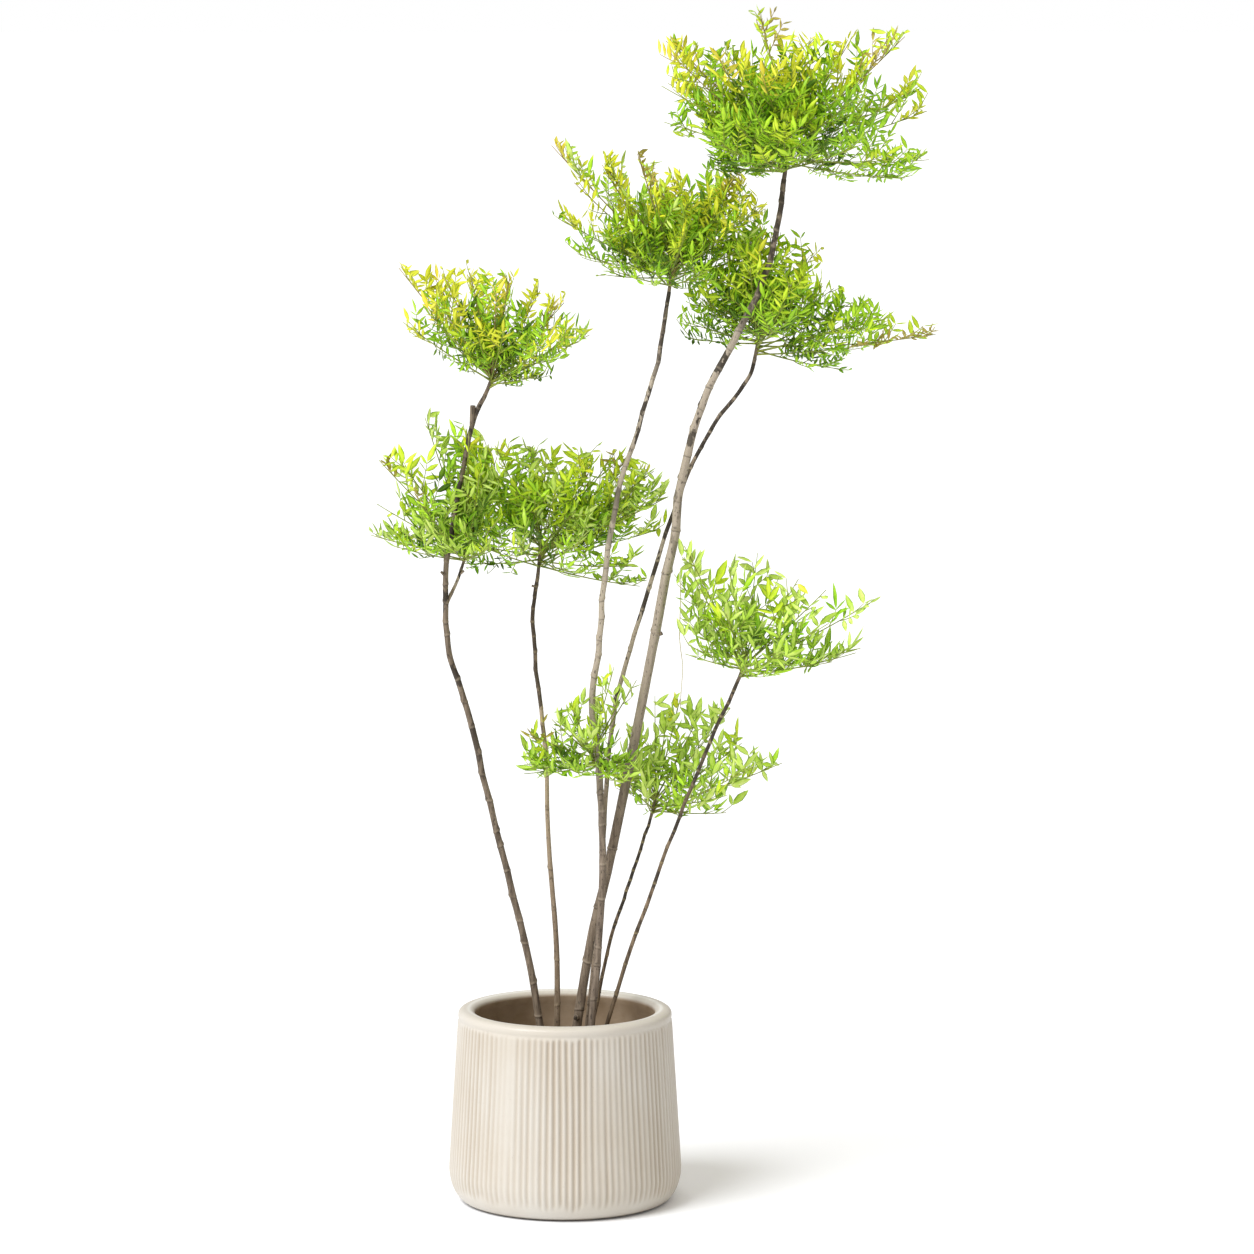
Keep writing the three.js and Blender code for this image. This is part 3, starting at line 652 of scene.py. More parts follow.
@dataclass(frozen=True)
class Pot:
    """The pot, in millimetres: a rounded foot, a reeded side that leans in, a thick lip and a bare inside.

    crease holds the depth, height and width of the crease under the lip, and bare_from is the turn over the
    lip past which its inner side is bare clay.
    """

    foot_radius: float = 150.0
    belly_radius: float = 180.0
    belly_height: float = 53.0
    shoulder_radius: float = 165.0
    side_rows: tuple[float, ...] = (80.0, 120.0, 160.0, 200.0, 235.0, 255.0, 266.0, 272.0, 276.0, 279.0,
                                    281.5, 283.5, 285.5, 287.5)
    lip_centre: float = 290.0
    lip_half_width: float = 13.0
    lip_height: float = 10.0
    crease: Triple = (1.3, 284.5, 2.6)
    bare_from: float = 2.7
    wall: float = 19.0
    floor: float = 24.0
    reeds: int = 108
    reed_depth: float = 2.0
    reed_top: float = 285.0
    reed_foot: float = 17.0
    reed_wander: float = 0.55
    points_per_reed: int = 9
    # The height of the painted contact shade at the foot, given as bare clay.
    painted_foot_shade_height: float = 5.0

    def inner_radius(self, height: Array | float) -> Array | float:
        """The radius of the inner wall at a height above the belly."""
        share = (height - self.belly_height) / (self.lip_centre - self.belly_height)
        return self.belly_radius - self.wall - (self.belly_radius - self.shoulder_radius) * share

    def profile(self) -> tuple[Array, Array, Array]:
        """The outline of half the pot, from the middle of its underside to the middle of its inner floor.

        The foot is a quarter of an ellipse. The side is straight, with a crease under the lip that is
        depth . exp(-((z - height) / width)^2) deep, and the lip is half of a flattened circle.

        Returns:
            Each point's radius and height, and 1 for each point of the inside.
        """
        rows: list[Triple] = [(60.0, 0.0, 0.0), (120.0, 0.0, 0.0), (146.0, 0.0, 0.0)]
        swell = self.belly_radius - self.foot_radius
        for turn in np.linspace(0.0, np.pi / 2, 20):
            height = self.belly_height * (1 - math.cos(turn))
            rows.append((self.foot_radius + swell * math.sin(turn), height, 0.0))
        deep, middle, width = self.crease
        for height in self.side_rows:
            crease = deep * math.exp(-(((height - middle) / width) ** 2))
            rows.append((self.inner_radius(height) + self.wall - crease, height, 0.0))
        for turn in np.linspace(0.0, np.pi, 19):
            inward = self.lip_half_width * (1 - math.cos(turn))
            inside = 0.0 if turn < self.bare_from else (turn - self.bare_from) / (np.pi - self.bare_from)
            height = self.lip_centre + self.lip_height * math.sin(turn) ** 0.75
            rows.append((self.shoulder_radius - inward, height, inside))
        rows.append((self.inner_radius(285.0) - 3.0, 281.0, 1.0))
        rows += [(self.inner_radius(height), height, 1.0) for height in (252.0, 180.0, self.belly_height)]
        rows += [(radius, self.floor, 1.0) for radius in (131.0, 60.0)]
        radius, height, inside = np.array(rows).T
        return radius, height, inside

    def grooves(self, turn: Array, height: Array, inside: Array) -> Array:
        """How deep the grooves between the reeds are: fade . ((1 + cos phase) / 2)^1.1.

        The phase runs through one turn for each reed and wanders a little. The depth fades out below the lip
        and on the foot, and is uneven from reed to reed.
        """
        phase = self.reeds * turn + self.reed_wander * ripples(turn, height, 5, (1, 16), 60.0) + np.pi
        ends = 3.0 * ripples(turn, 0.0, 6, (3, 40), 1.0)
        outside = (inside < 0.01)[:, None] & (height > 1.0)
        above_foot = np.clip((height - self.reed_foot - ends) / 16.0, 0, 1)
        fade = above_foot * np.clip((self.reed_top + ends * 0.4 - height) / 8.0, 0, 1)
        uneven = 0.78 + 0.22 * ripples(turn, height, 8, (2, 54), 90.0)
        uneven = uneven + 0.22 * ripples(turn, height, 9, (1, 7), 160.0)
        fade = outside * fade * fade * (3 - 2 * fade) * np.clip(uneven, 0.12, 1.2)
        return fade * ((1 + np.cos(phase)) / 2) ** 1.1

    def build(self) -> Object:
        """Builds the pot. The radius at a row is the outline's, less the reeds' depth times the grooves."""
        radius, height, inside = self.profile()
        columns = self.reeds * self.points_per_reed
        turn = ring_turns(columns)
        radius, height = np.repeat(radius[:, None], columns, 1), np.repeat(height[:, None], columns, 1)
        groove = self.grooves(turn, height, inside)
        points, faces = revolved((radius - self.reed_depth * groove) * MM, height * MM)
        up = points[:, 2] / MM
        # The grooves' depth, which is also the mask of their darker glaze: partly glaze pooling, partly
        # painted shade.
        dark = np.append(groove.ravel(), [0.0, 0.0])
        bare = np.append(np.repeat(inside, columns), [0.0, 1.0])
        # The mask of the painted contact shade at the foot, on the outside only.
        foot = np.clip((self.painted_foot_shade_height - up) / 3.5, 0, 1) * (bare < 0.01)
        # The mask of a painted highlight round the lip's inner edge, on the top of the lip only.
        away = np.hypot(points[:, 0], points[:, 1]) / MM - (self.shoulder_radius - self.lip_half_width)
        rim = np.exp(-(((away + 3.5) / 3.0) ** 2)) * (up > self.lip_centre + 5)
        surface = Surface()
        surface.add(points, faces, groove=dark, inside=bare, foot=foot, rim=rim)
        return surface.piece("ceramic_pot", [GlazeFinish().make()], "pot", ["pot"])


@dataclass(frozen=True)
class SoilBed:
    """The soil: an uneven bed that covers the canes' feet, with crumbs and pale grains strewn on it.

    The sizes are the balls' half widths, in millimetres.
    """

    pot: Pot
    columns: int = 180
    crumbs: int = 900
    grains: int = 130
    crumb_sizes: Pair = (1.2, 4.2)
    grain_sizes: Pair = (1.0, 2.2)
    swell: float = 1.6
    heaped: float = 2.2

    def height_at(self, x: Array, y: Array) -> Array:
        """The soil's height at a place: its level plus waves of three lengths, never below the level."""
        waves = np.sin(x / 17 + 1.3) * np.cos(y / 13) + 0.6 * np.sin(x / 6.1 + y / 7.3)
        waves = waves + 0.4 * np.cos(x / 2.9 - y / 3.7)
        return SOIL_TOP + self.heaped + self.swell * waves / 2

    def bed(self) -> Object:
        """Builds the bed: its underside and side follow the pot, and its top is the height at each place."""
        pot = self.pot
        edge = pot.inner_radius(SOIL_TOP) - 1
        level = pot.floor + SEAT_GAP
        below = [(60.0, level), (130.0, level), (pot.inner_radius(53.0) - 1, 53.0)]
        above = np.linspace(edge, 3.0, 40)
        wide, high = zip(*below)
        radius = np.concatenate([wide, [edge], above])[:, None].repeat(self.columns, 1)
        height = np.concatenate([high, [SOIL_TOP - 4], above])[:, None].repeat(self.columns, 1)
        turn = ring_turns(self.columns)
        top = radius[4:]
        height[4:] = self.height_at(top * np.cos(turn), top * np.sin(turn))
        surface = Surface()
        surface.add(*revolved(radius * MM, height * MM))
        finish = PlainFinish("soil_dark", (0.028, 0.019, 0.012), (0.085, 0.058, 0.036))
        return surface.piece("soil_bed", [finish.make()], "soil", ["soil"])

    def strewn(self) -> Object:
        """Strews crumbs on the bed: squashed balls of 20 faces, whose corners are pushed in and out."""
        golden = (1 + math.sqrt(5)) / 2
        four = np.array([(-1, golden, 0), (1, golden, 0), (-1, -golden, 0), (1, -golden, 0)])
        corners = np.concatenate([np.roll(four, k, axis=1) for k in range(3)]) / math.hypot(1, golden)
        faces = np.array([
            (0, 11, 5), (0, 5, 1), (0, 1, 7), (0, 7, 10), (0, 10, 11), (1, 5, 9), (5, 11, 4), (11, 10, 2),
            (10, 7, 6), (7, 1, 8), (3, 9, 4), (3, 4, 2), (3, 2, 6), (3, 6, 8), (3, 8, 9), (4, 9, 5),
            (2, 4, 11), (6, 2, 10), (8, 6, 7), (9, 8, 1)])
        chance = np.random.default_rng(77)
        count = self.crumbs + self.grains
        away = np.sqrt(chance.uniform(0, 1, count)) * (self.pot.inner_radius(SOIL_TOP) - 6)
        turn = chance.uniform(0, 2 * np.pi, count)
        place = np.stack([away * np.cos(turn), away * np.sin(turn), np.zeros(count)], axis=-1)
        place[:, 2] = self.height_at(place[:, 0], place[:, 1])
        is_crumb = np.arange(count) < self.crumbs
        crumb, grain = (chance.uniform(*sizes, count) for sizes in (self.crumb_sizes, self.grain_sizes))
        size = np.where(is_crumb, crumb, grain)
        shape = chance.uniform(0.55, 1.0, (count, 1, 3)) * size[:, None, None]
        rough = chance.uniform(0.75, 1.15, (count, len(corners), 1))
        axes = unit(chance.normal(size=(count, 1, 3)))
        balls = turned(corners * shape * rough, axes, chance.uniform(0, 2 * np.pi, (count, 1)))
        points = place[:, None, :] + balls
        numbers = (faces[None] + np.arange(count)[:, None, None] * len(corners)).reshape(-1, 3)
        dress = np.repeat((~is_crumb).astype(int), len(faces))
        surface = Surface()
        surface.add(points * MM, [numbers], [dress])
        dark = PlainFinish("crumb_dark", (0.035, 0.022, 0.013), (0.12, 0.078, 0.046))
        pale = PlainFinish("grain_pale", (0.48, 0.44, 0.38), (0.62, 0.58, 0.52))
        return surface.piece("soil_crumbs", [dark.make(), pale.make()], "soil", [])


# Limbs


class Line:
    """A line that is measured by its length, from many points on it."""

    def __init__(self, samples: Array) -> None:
        """Measures the line through the samples."""
        self.samples = samples
        steps = np.linalg.norm(np.diff(samples, axis=0), axis=1)
        self.measure = np.concatenate([[0.0], np.cumsum(steps)])
        self.length = float(self.measure[-1])

    def at(self, share: Array | float) -> Array:
        """The point at a share of the length."""
        where = np.asarray(share) * self.length
        return np.stack([np.interp(where, self.measure, self.samples[:, k]) for k in range(3)], axis=-1)

    def ahead(self, share: Array | float) -> Array:
        """The direction at a share of the length, from two points close by."""
        share = np.asarray(share)
        return unit(self.at(np.minimum(share + 1e-3, 1.0)) - self.at(np.maximum(share - 1e-3, 0.0)))


def smooth_line(route: tuple[tuple[float, ...], ...]) -> Line:
    """The centripetal Catmull-Rom line through a route's points, where a point with no height is at the soil.

    Between two points it is the cubic that meets both, with tangents from its neighbours weighed by the
    roots of the distances, and the row of points is carried on straight past both ends.
    """
    points = np.array([(*point, SOIL_TOP + SEAT_GAP)[:3] for point in route], float)
    points = np.concatenate([[2 * points[0] - points[1]], points, [2 * points[-1] - points[-2]]])
    share = np.linspace(0, 1, 41)[:, None]
    spans = []
    for before, start, end, after in zip(points, points[1:], points[2:], points[3:]):
        pairs = ((before, start), (start, end), (end, after))
        one, two, three = (math.sqrt(np.linalg.norm(b - a)) for a, b in pairs)
        leave = two * ((start - before) / one - (end - before) / (one + two) + (end - start) / two)
        arrive = two * ((end - start) / two - (after - start) / (two + three) + (after - end) / three)
        spans.append(start + leave * share + (3 * (end - start) - 2 * leave - arrive) * share**2
                     + (2 * (start - end) + leave + arrive) * share**3)
    return Line(np.concatenate([spans[0], *[span[1:] for span in spans[1:]]]))


def bezier(start: Array, middle: Array, end: Array, share: Array) -> Array:
    """The curve (1 - t)^2 start + 2 t (1 - t) middle + t^2 end."""
    share = np.asarray(share)[..., None]
    return (1 - share) ** 2 * start + 2 * share * (1 - share) * middle + share**2 * end


def bell(place: Array, middle: float, width: float) -> Array:
    """The bell curve exp(-((place - middle) / width)^2)."""
    return np.exp(-(((place - middle) / width) ** 2))


@dataclass(frozen=True)
class NodeShape:
    """The bells that make up a node: a height, a middle and a width along a cane of 6 mm radius.

    A colour's bell has no height, ring is a ring's width, askew its tilt and side a bud's width in radians.
    """

    ring: float = 1.7
    swelling: Triple = (0.26, 0.0, 8.0)
    groove: Triple = (0.3, -2.7, 1.0)
    bud: Triple = (1.25, 2.5, 2.8)
    pale: Pair = (0.5, 1.7)
    scar: Pair = (-2.6, 0.9)
    bud_scar: Pair = (2.8, 1.5)
    askew: float = 1.4
    side: float = 0.55
    rows: tuple[float, ...] = (-9, -6, -4, -3, -2.2, -1.5, -0.9, -0.3, 0.3, 0.9, 1.5, 2.4, 4, 6)


NODE = NodeShape()


@dataclass(frozen=True)
class Stub:
    """A broken stub of an old shoot on a cane, in millimetres."""

    at: Triple
    along: Triple
    length: float
    radius: float


@dataclass(frozen=True)
class Cane:
    """A bare cane or bough, in millimetres, with its radii at the foot, halfway and at the tip.

    A ring of its mesh has around points. flare is how much wider the foot is, as a share, and bend how far
    its line stands aside between nodes.
    """

    route: tuple[tuple[float, ...], ...]
    radii: Triple
    bark: str
    seed: int
    nodes: tuple[float, ...] = ()
    stubs: tuple[Stub, ...] = ()
    around: int = 26
    flare: float = 0.3
    flare_height: float = 16.0
    bend: float = 1.3

    def radius_at(self, share: Array | float) -> Array:
        """The radius at a share of the length, straight from the foot to halfway and on to the tip."""
        return np.interp(share, [0.0, 0.5, 1.0], self.radii)

    def rows(self, length: float, rings: Array) -> Array:
        """The lengths at which the bark has a ring of points: every 5 mm, and close together at each node."""
        close = (rings[:, None] + np.array(NODE.rows)).ravel()
        rows = np.unique(np.clip(np.concatenate([np.arange(0, length, 5.0), close, [length]]), 0, length))
        rows = rows[np.concatenate([[True], np.diff(rows) > 0.2])]
        rows[-1] = length
        return rows

    def surface(self) -> Surface:
        """The bark's mesh.

        The radius is the taper, times 1 + flare . exp(-length / flare height), plus long low ridges, and plus
        at each node a ring h . exp(-(d / 1.7)^2) on a low swelling over a groove, where d is the length from
        a ring that stands a little askew, and a bud with a leaf's scar on one side of it.
        """
        line = smooth_line(self.route)
        chance = np.random.default_rng(self.seed)
        rings = np.interp(np.array(self.nodes), line.samples[:, 2], line.measure)
        rows = self.rows(line.length, rings)
        share, turn, along = rows / line.length, ring_turns(self.around), rows[:, None]
        radius = self.radius_at(share)[:, None] * (1 + self.flare * np.exp(-along / self.flare_height))
        thick = radius / 6.0
        radius = radius * 0.97 + thick * 0.22 * ripples(turn, along, self.seed, (2, 6), 60.0)
        radius = radius + thick * 0.14 * ripples(turn, along, self.seed + 1, (4, 11), 9.0)
        old = np.clip((share[:, None] - 0.8) / 0.2, 0, 1) * (self.around > 20)
        radius = radius + thick * old * (0.25 + 0.5 * ripples(turn, along, self.seed + 2, (1, 4), 5.0))
        collar, scar = np.zeros_like(radius), np.zeros_like(radius)
        for ring in rings:
            facing, height = chance.uniform(0, 2 * np.pi), chance.uniform(0.15, 0.78) ** 1.3
            away = along - ring - NODE.askew * thick * np.cos(turn - facing)
            side = bell(np.mod(turn - facing + np.pi, 2 * np.pi) - np.pi, 0.0, NODE.side)
            radius = radius + thick * height * bell(away, 0.0, NODE.ring)
            radius = radius + thick * NODE.swelling[0] * bell(away, *NODE.swelling[1:])
            radius = radius - thick * NODE.groove[0] * bell(away, *NODE.groove[1:])
            radius = radius + thick * NODE.bud[0] * side * bell(away, *NODE.bud[1:])
            collar = np.maximum(collar, chance.uniform(0.1, 0.8) * bell(away, *NODE.pale))
            scar = np.maximum(scar, bell(away, *NODE.scar) * chance.uniform(0.15, 0.8))
            scar = np.maximum(scar, side**3 * bell(away, *NODE.bud_scar))
        made = Surface()
        centre = line.at(share) + self.bends(rows, rings, share)
        points, faces = tubes(centre[None], radius[None], self.around)
        age = np.broadcast_to(share[:, None], radius.shape)
        made.add(points * MM, faces, collar=collar.ravel(), scar=scar.ravel(), age=age.ravel())
        for number, stub in enumerate(self.stubs):
            self.add_stub(made, stub, number)
        return made

    def bends(self, rows: Array, rings: Array, share: Array) -> Array:
        """How far the centre line stands aside: it runs straight between nodes and turns a little at each.

        Args:
            rows: The lengths along the cane at which it is wanted.
            rings: The lengths of its nodes.
            share: The rows as shares of the whole length.

        Returns:
            The shift at each row, which dies out at both ends.
        """
        chance = np.random.default_rng(self.seed + 40)
        aside = chance.uniform(0.35, 1.0, (2, len(rings))) * chance.choice([-1.0, 1.0], (2, len(rings)))
        most = self.bend * np.interp(share, [0.0, 0.06, 0.5, 0.97, 1.0], [0.0, 0.5, 0.8, 1.0, 0.0])
        across, deep = (np.interp(rows, rings, one) for one in aside)
        shift = np.stack([across, deep, np.zeros(len(rows))], axis=-1)
        return shift * most[:, None]

    def add_stub(self, made: Surface, stub: Stub, number: int) -> None:
        """Adds a stub: a short tube with a swollen rim and a hollow dark end.

        No two rings are in one place, so each is moved on by a hundredth of a millimetre.
        """
        sides = 18
        share = np.array([0.0, 0.3, 0.55, 0.75, 0.88, 0.95, 1.0, 1.0, 0.96, 0.93])
        width = np.array([0.55, 0.9, 0.98, 1.0, 1.04, 1.05, 0.98, 0.8, 0.6, 0.3])
        along = unit(np.array(stub.along))
        path = np.array(stub.at) + along * stub.length * share[:, None]
        path = path + along * np.arange(len(share))[:, None] * 0.01
        relief = ripples(ring_turns(sides), share[:, None] * stub.length, 90 + number, (2, 7), 5.0)
        points, faces = tubes(path[None], (stub.radius * (width[:, None] + 0.07 * relief))[None], sides)
        dark = np.where(share > 0.9, 1.0, 0.0) * (width < 0.9)
        made.add(points * MM, faces, collar=0.0, scar=np.repeat(dark, sides), age=0.2)

    def build(self, node: str, barks: dict[str, Material]) -> Object:
        """Builds the cane that stands for a solid."""
        return self.surface().piece(f"bark_{node}", [barks[self.bark]], "bark", [node])


CANES = {
    "cane_left": Cane(
        route=((-30, -8), (-53, -11, 363), (-98, -19, 555), (-121, -22, 649), (-147, -26, 765),
            (-175, -30, 854), (-181, -32, 920), (-180, -35, 981), (-158, -40, 1116), (-136, -44, 1218),
            (-119, -45, 1252)),
        radii=(5.8, 4.8, 3.4), bark="grey", seed=101,
        nodes=(238, 290, 341, 404, 440, 477, 517, 556, 579, 627, 668, 700, 742, 781, 815, 850, 884, 905, 934,
            962, 997, 1031, 1062, 1090, 1128, 1158, 1187, 1209, 1231),
        stubs=(Stub((-140, -43, 1196), (0.06, -0.1, 1), 40, 4.0),
               Stub((-181, -36, 974), (-0.7, -0.2, 0.9), 10, 2.0))),
    "cane_slender": Cane(
        route=((-12, 12), (-13, 24, 392), (-24, 36, 546), (-32, 50, 713), (-43, 57, 804), (-49, 65, 895),
            (-42, 70, 961)),
        radii=(4.8, 3.6, 3.0), bark="brown", seed=102,
        nodes=(300, 371, 449, 512, 605, 668, 700, 735, 760, 790, 818, 846, 870, 893, 912, 930, 946),
        stubs=(Stub((-44, 69, 946), (-1, -0.1, 0.3), 7.5, 1.8),),
        around=22),
    "cane_middle": Cane(
        route=((36, -26), (51, -26, 387), (59, -26, 525), (52, -22, 682), (43, -12, 778), (54, 0, 871),
            (59, 8, 945), (81, 20, 1092), (115, 29, 1203), (141, 33, 1288), (154, 37, 1359), (160, 40, 1403)),
        radii=(5.9, 5.0, 3.0), bark="ashen", seed=103,
        nodes=(262, 318, 371, 400, 476, 530, 547, 590, 612, 640, 668, 700, 738, 817, 850, 874, 905, 934, 964,
            985, 1012, 1046, 1075, 1110, 1139, 1166, 1192, 1218, 1247, 1272, 1296, 1318, 1340, 1362, 1384)),
    "cane_tall": Cane(
        route=((11, 5), (43, 5, 418), (66, 4, 516), (111, -4, 738), (154, -12, 962), (168, -16, 1032),
            (175, -17, 1098), (192, -19, 1175), (219, -22, 1259), (261, -24, 1338), (293, -25, 1402),
            (317, -27, 1473), (333, -30, 1577)),
        radii=(7.2, 7.6, 3.8), bark="taupe", seed=104,
        nodes=(296, 372, 455, 548, 690, 884, 978, 1043, 1090, 1121, 1160, 1196, 1231, 1262, 1290, 1322, 1349,
            1377, 1402, 1428, 1452, 1476, 1500, 1521, 1542, 1561),
        stubs=(Stub((21, 3, 283), (-0.35, -0.9, 0.25), 13, 4.0),
               Stub((142, -9, 881), (1, -0.4, 0.4), 8.5, 2.8)),
        around=30),
    "cane_behind": Cane(
        route=((29, 26), (54, 37, 462), (63, 45, 633), (80, 51, 777), (127, 58, 934), (166, 64, 1060),
            (189, 67, 1120), (226, 70, 1192), (286, 74, 1274), (292, 75, 1299)),
        radii=(4.0, 3.5, 3.0), bark="pale", seed=105,
        nodes=(300, 380, 455, 520, 580, 640, 690, 735, 776, 812, 850, 873, 912, 945, 987, 1030, 1066, 1098,
            1130, 1160, 1186, 1212, 1236, 1258),
        around=22),
    "cane_short": Cane(
        route=((33, 46), (76, 57, 415), (110, 65, 513), (132, 70, 584)),
        radii=(3.2, 2.8, 2.6), bark="dark", seed=106,
        nodes=(262, 300, 338, 371, 398, 420, 441, 458, 472, 488, 503, 517, 533, 548, 560, 573),
        around=18),
    "cane_right": Cane(
        route=((48, 4), (102, -15, 395), (173, -41, 597), (232, -60, 744), (265, -70, 820)),
        radii=(3.4, 3.0, 2.8), bark="dark", seed=107,
        nodes=(270, 322, 371, 420, 462, 500, 532, 557, 583, 604, 629, 655, 677, 700, 722, 741, 763, 784, 803),
        around=18),
    "bough_left": Cane(
        route=((-180, -32, 931), (-165, -18, 962), (-155, -10, 990)),
        radii=(3.0, 2.5, 2.2), bark="pale", seed=108, nodes=(946, 968, 981),
        stubs=(Stub((-160, -14, 974), (0.8, -0.2, 0.8), 9.5, 1.8),),
        around=16, flare=0.25, flare_height=6.0, bend=0.4),
}


# Crowns


@dataclass(frozen=True)
class Fronds:
    """How a crown's fronds and sprays stand, as in the source, in millimetres and degrees.

    A frond that fills is from shortest to longest as a share of the reach, and rises from lowest to steepest.
    Sprays stand from first to last as shares of the rib. Leaves may pass the outline by over and under.
    """

    sag: float = 0.05
    shortest: float = 0.74
    longest: float = 1.0
    lowest: float = 6.0
    steepest: float = 64.0
    roll: float = 70.0
    first: float = 0.36
    last: float = 0.84
    spacing: float = 34.0
    spread: Pair = (60.0, 38.0)
    lift: float = 0.25
    turn: float = 35.0
    over: float = 12.0
    under: float = 8.0


RULE = Fronds()
# The share of a range from one frond to the next, where they are to be spread evenly.
GOLDEN_SHARE = 0.618
# How far a leaflet's two halves are folded up, and its thickness as a share of its length.
LEAF_FOLD = 0.42
LEAF_THICKNESS = 0.02


@dataclass(frozen=True)
class ToneRule:
    """The numbers of the formula in Crown.tone_of, and the values at which one tone gives way to the next."""

    base: float = 0.13
    height: float = 0.26
    crest: float = 0.42
    share: float = 0.1
    rim: float = 0.28
    rim_low: float = 0.35
    rim_high: float = 0.65
    offset: float = 0.05
    stray: Pair = (1.35, 0.4)
    lighter: float = 0.6
    least: float = 0.42
    most: Triple = (0.42, 0.62, 0.12)
    steps: Triple = (0.18, 0.36, 0.56)
    yellow: float = 1.5


@dataclass(frozen=True)
class LeafRule:
    """How leaflets stand on a stalk, as shares of it, and how they differ from each other.

    closing and stray are in degrees, and sway and roll in radians. lift is a mean and a spread, fullest holds
    the greatest size, how it shrinks and where, and near sizes at distances from the root.
    """

    first: float = 0.24
    spread: float = 0.7
    lone: float = 0.6
    present: float = 0.96
    closing: float = 20.0
    stray: float = 9.0
    lift: Pair = (0.16, 0.16)
    end_sway: float = 0.1
    end_size: Pair = (1.05, 1.35)
    size: Pair = (0.74, 1.14)
    fullest: Triple = (1.05, 0.3, 0.4)
    sway: float = 0.12
    roll: float = 0.45
    near: tuple[Pair, ...] = ((30, 0.62), (120, 0.95), (230, 1.16))
    bronze: float = 0.8
    width: Pair = (0.8, 1.2)
    droop: Pair = (-0.42, 0.02)


TONING = ToneRule()
LEAFING = LeafRule()


@dataclass(frozen=True)
class Frond:
    """A frond's tip from the crown's root, its rise in degrees, its foot's place on the shoot and its draws.

    mark is its place among those that mark the outline, or -1.
    """

    tip: Array
    rise: float
    foot: float
    draw: Draws
    mark: int = -1


@dataclass(frozen=True)
class Rib:
    """A frond's rib: a curve that sags and turns up again, with the frond's own draws and its mark."""

    attach: Array
    middle: Array
    tip: Array
    draw: Draws
    mark: int

    def at(self, share: Array | float) -> Array:
        """The point at a share of the curve."""
        return bezier(self.attach, self.middle, self.tip, np.asarray(share))

    def ahead(self, share: Array | float) -> Array:
        """The direction at a share of the curve."""
        share = np.asarray(share)[..., None]
        return unit((1 - share) * (self.middle - self.attach) + share * (self.tip - self.middle))

    @property
    def length(self) -> float:
        """The length from its foot straight to its tip."""
        return float(np.linalg.norm(self.tip - self.attach))


class Rows:
    """Arrays of the same length that describe one thing a row."""

    def kept(self, keep: Array) -> "Rows":
        """The rows that a mask names."""
        return type(self)(*(getattr(self, name)[keep] for name in self.__dataclass_fields__))


@dataclass(frozen=True)
class Sprays(Rows):
    """Sprays: foot, direction, upper side, length, place on the rib, tone and the rib's number."""

    foot: Array
    along: Array
    upper: Array
    long: Array
    share: Array
    tone: Array
    rib: Array


@dataclass(frozen=True)
class Leaflets(Rows):
    """Leaflets: foot, direction, upper side, length, width, droop, tone, spray's number and place on it."""

    foot: Array
    along: Array
    upper: Array
    long: Array
    wide: Array
    droop: Array
    tone: Array
    spray: Array
    share: Array

    def surface(self) -> Surface:
        """All leaflets as closed blades of 24 triangles.

        Along a leaflet v runs from 0 to 1 and across it x is -1, 0 or 1. A point is foot + v . length . along
        + x . half width . w(v) . side + rise . upper, where w is the outline, widest below the middle and
        drawn to a point. The rise is fold . |x| . half width . w(v) - droop . length . v^2. The lower face
        lies a fiftieth of the length below at the midrib and meets the upper face at the edge.
        """
        rows = np.array([0.17, 0.47, 0.79])
        outline = np.array([0.66, 1.0, 0.56])
        v = np.concatenate([[0.0], np.repeat(rows, 3), [1.0]])
        x = np.concatenate([[0.0], np.tile([-1.0, 0.0, 1.0], 3), [0.0]])
        w = np.concatenate([[0.0], np.repeat(outline, 3), [0.0]])
        long, half = self.long[:, None, None], self.wide[:, None, None] / 2
        side = np.cross(self.along, self.upper)
        v, x, w = v[:, None], x[:, None], w[:, None]
        rise = LEAF_FOLD * half * w * np.abs(x) - self.droop[:, None, None] * long * v**2
        top = self.foot[:, None] + self.along[:, None] * long * v + side[:, None] * half * w * x
        top = top + self.upper[:, None] * rise
        low = top - self.upper[:, None] * LEAF_THICKNESS * long * (1 - np.abs(x)) * w
        quads = np.array([[1], [2], [4], [5]]) + np.array([0, 1, 4, 3])
        ends = np.array([(0, 2, 1), (0, 3, 2), (7, 8, 10), (8, 9, 10)])
        quads, ends = (np.concatenate([made, made[:, ::-1] + len(v)]) for made in (quads, ends))
        starts = np.arange(len(self.long))[:, None, None] * 2 * len(v)
        points = np.concatenate([top, low], axis=1)
        made = Surface()
        faces = [(quads[None] + starts).reshape(-1, 4), (ends[None] + starts).reshape(-1, 3)]
        tones = [np.repeat(self.tone, len(quads)), np.repeat(self.tone, len(ends))]
        midrib = np.tile(1 - np.abs(x[:, 0]), 2)
        made.add(points * MM, faces, tones, midrib=np.tile(midrib, len(self.long)))
        return made


@dataclass(frozen=True)
class Space:
    """The ellipsoid that a crown keeps to."""

    centre: Array
    half: Array

    def level(self, points: Array) -> Array:
        """How far out points are: 1 on the ellipsoid."""
        return np.linalg.norm((points - self.centre) / self.half, axis=-1)


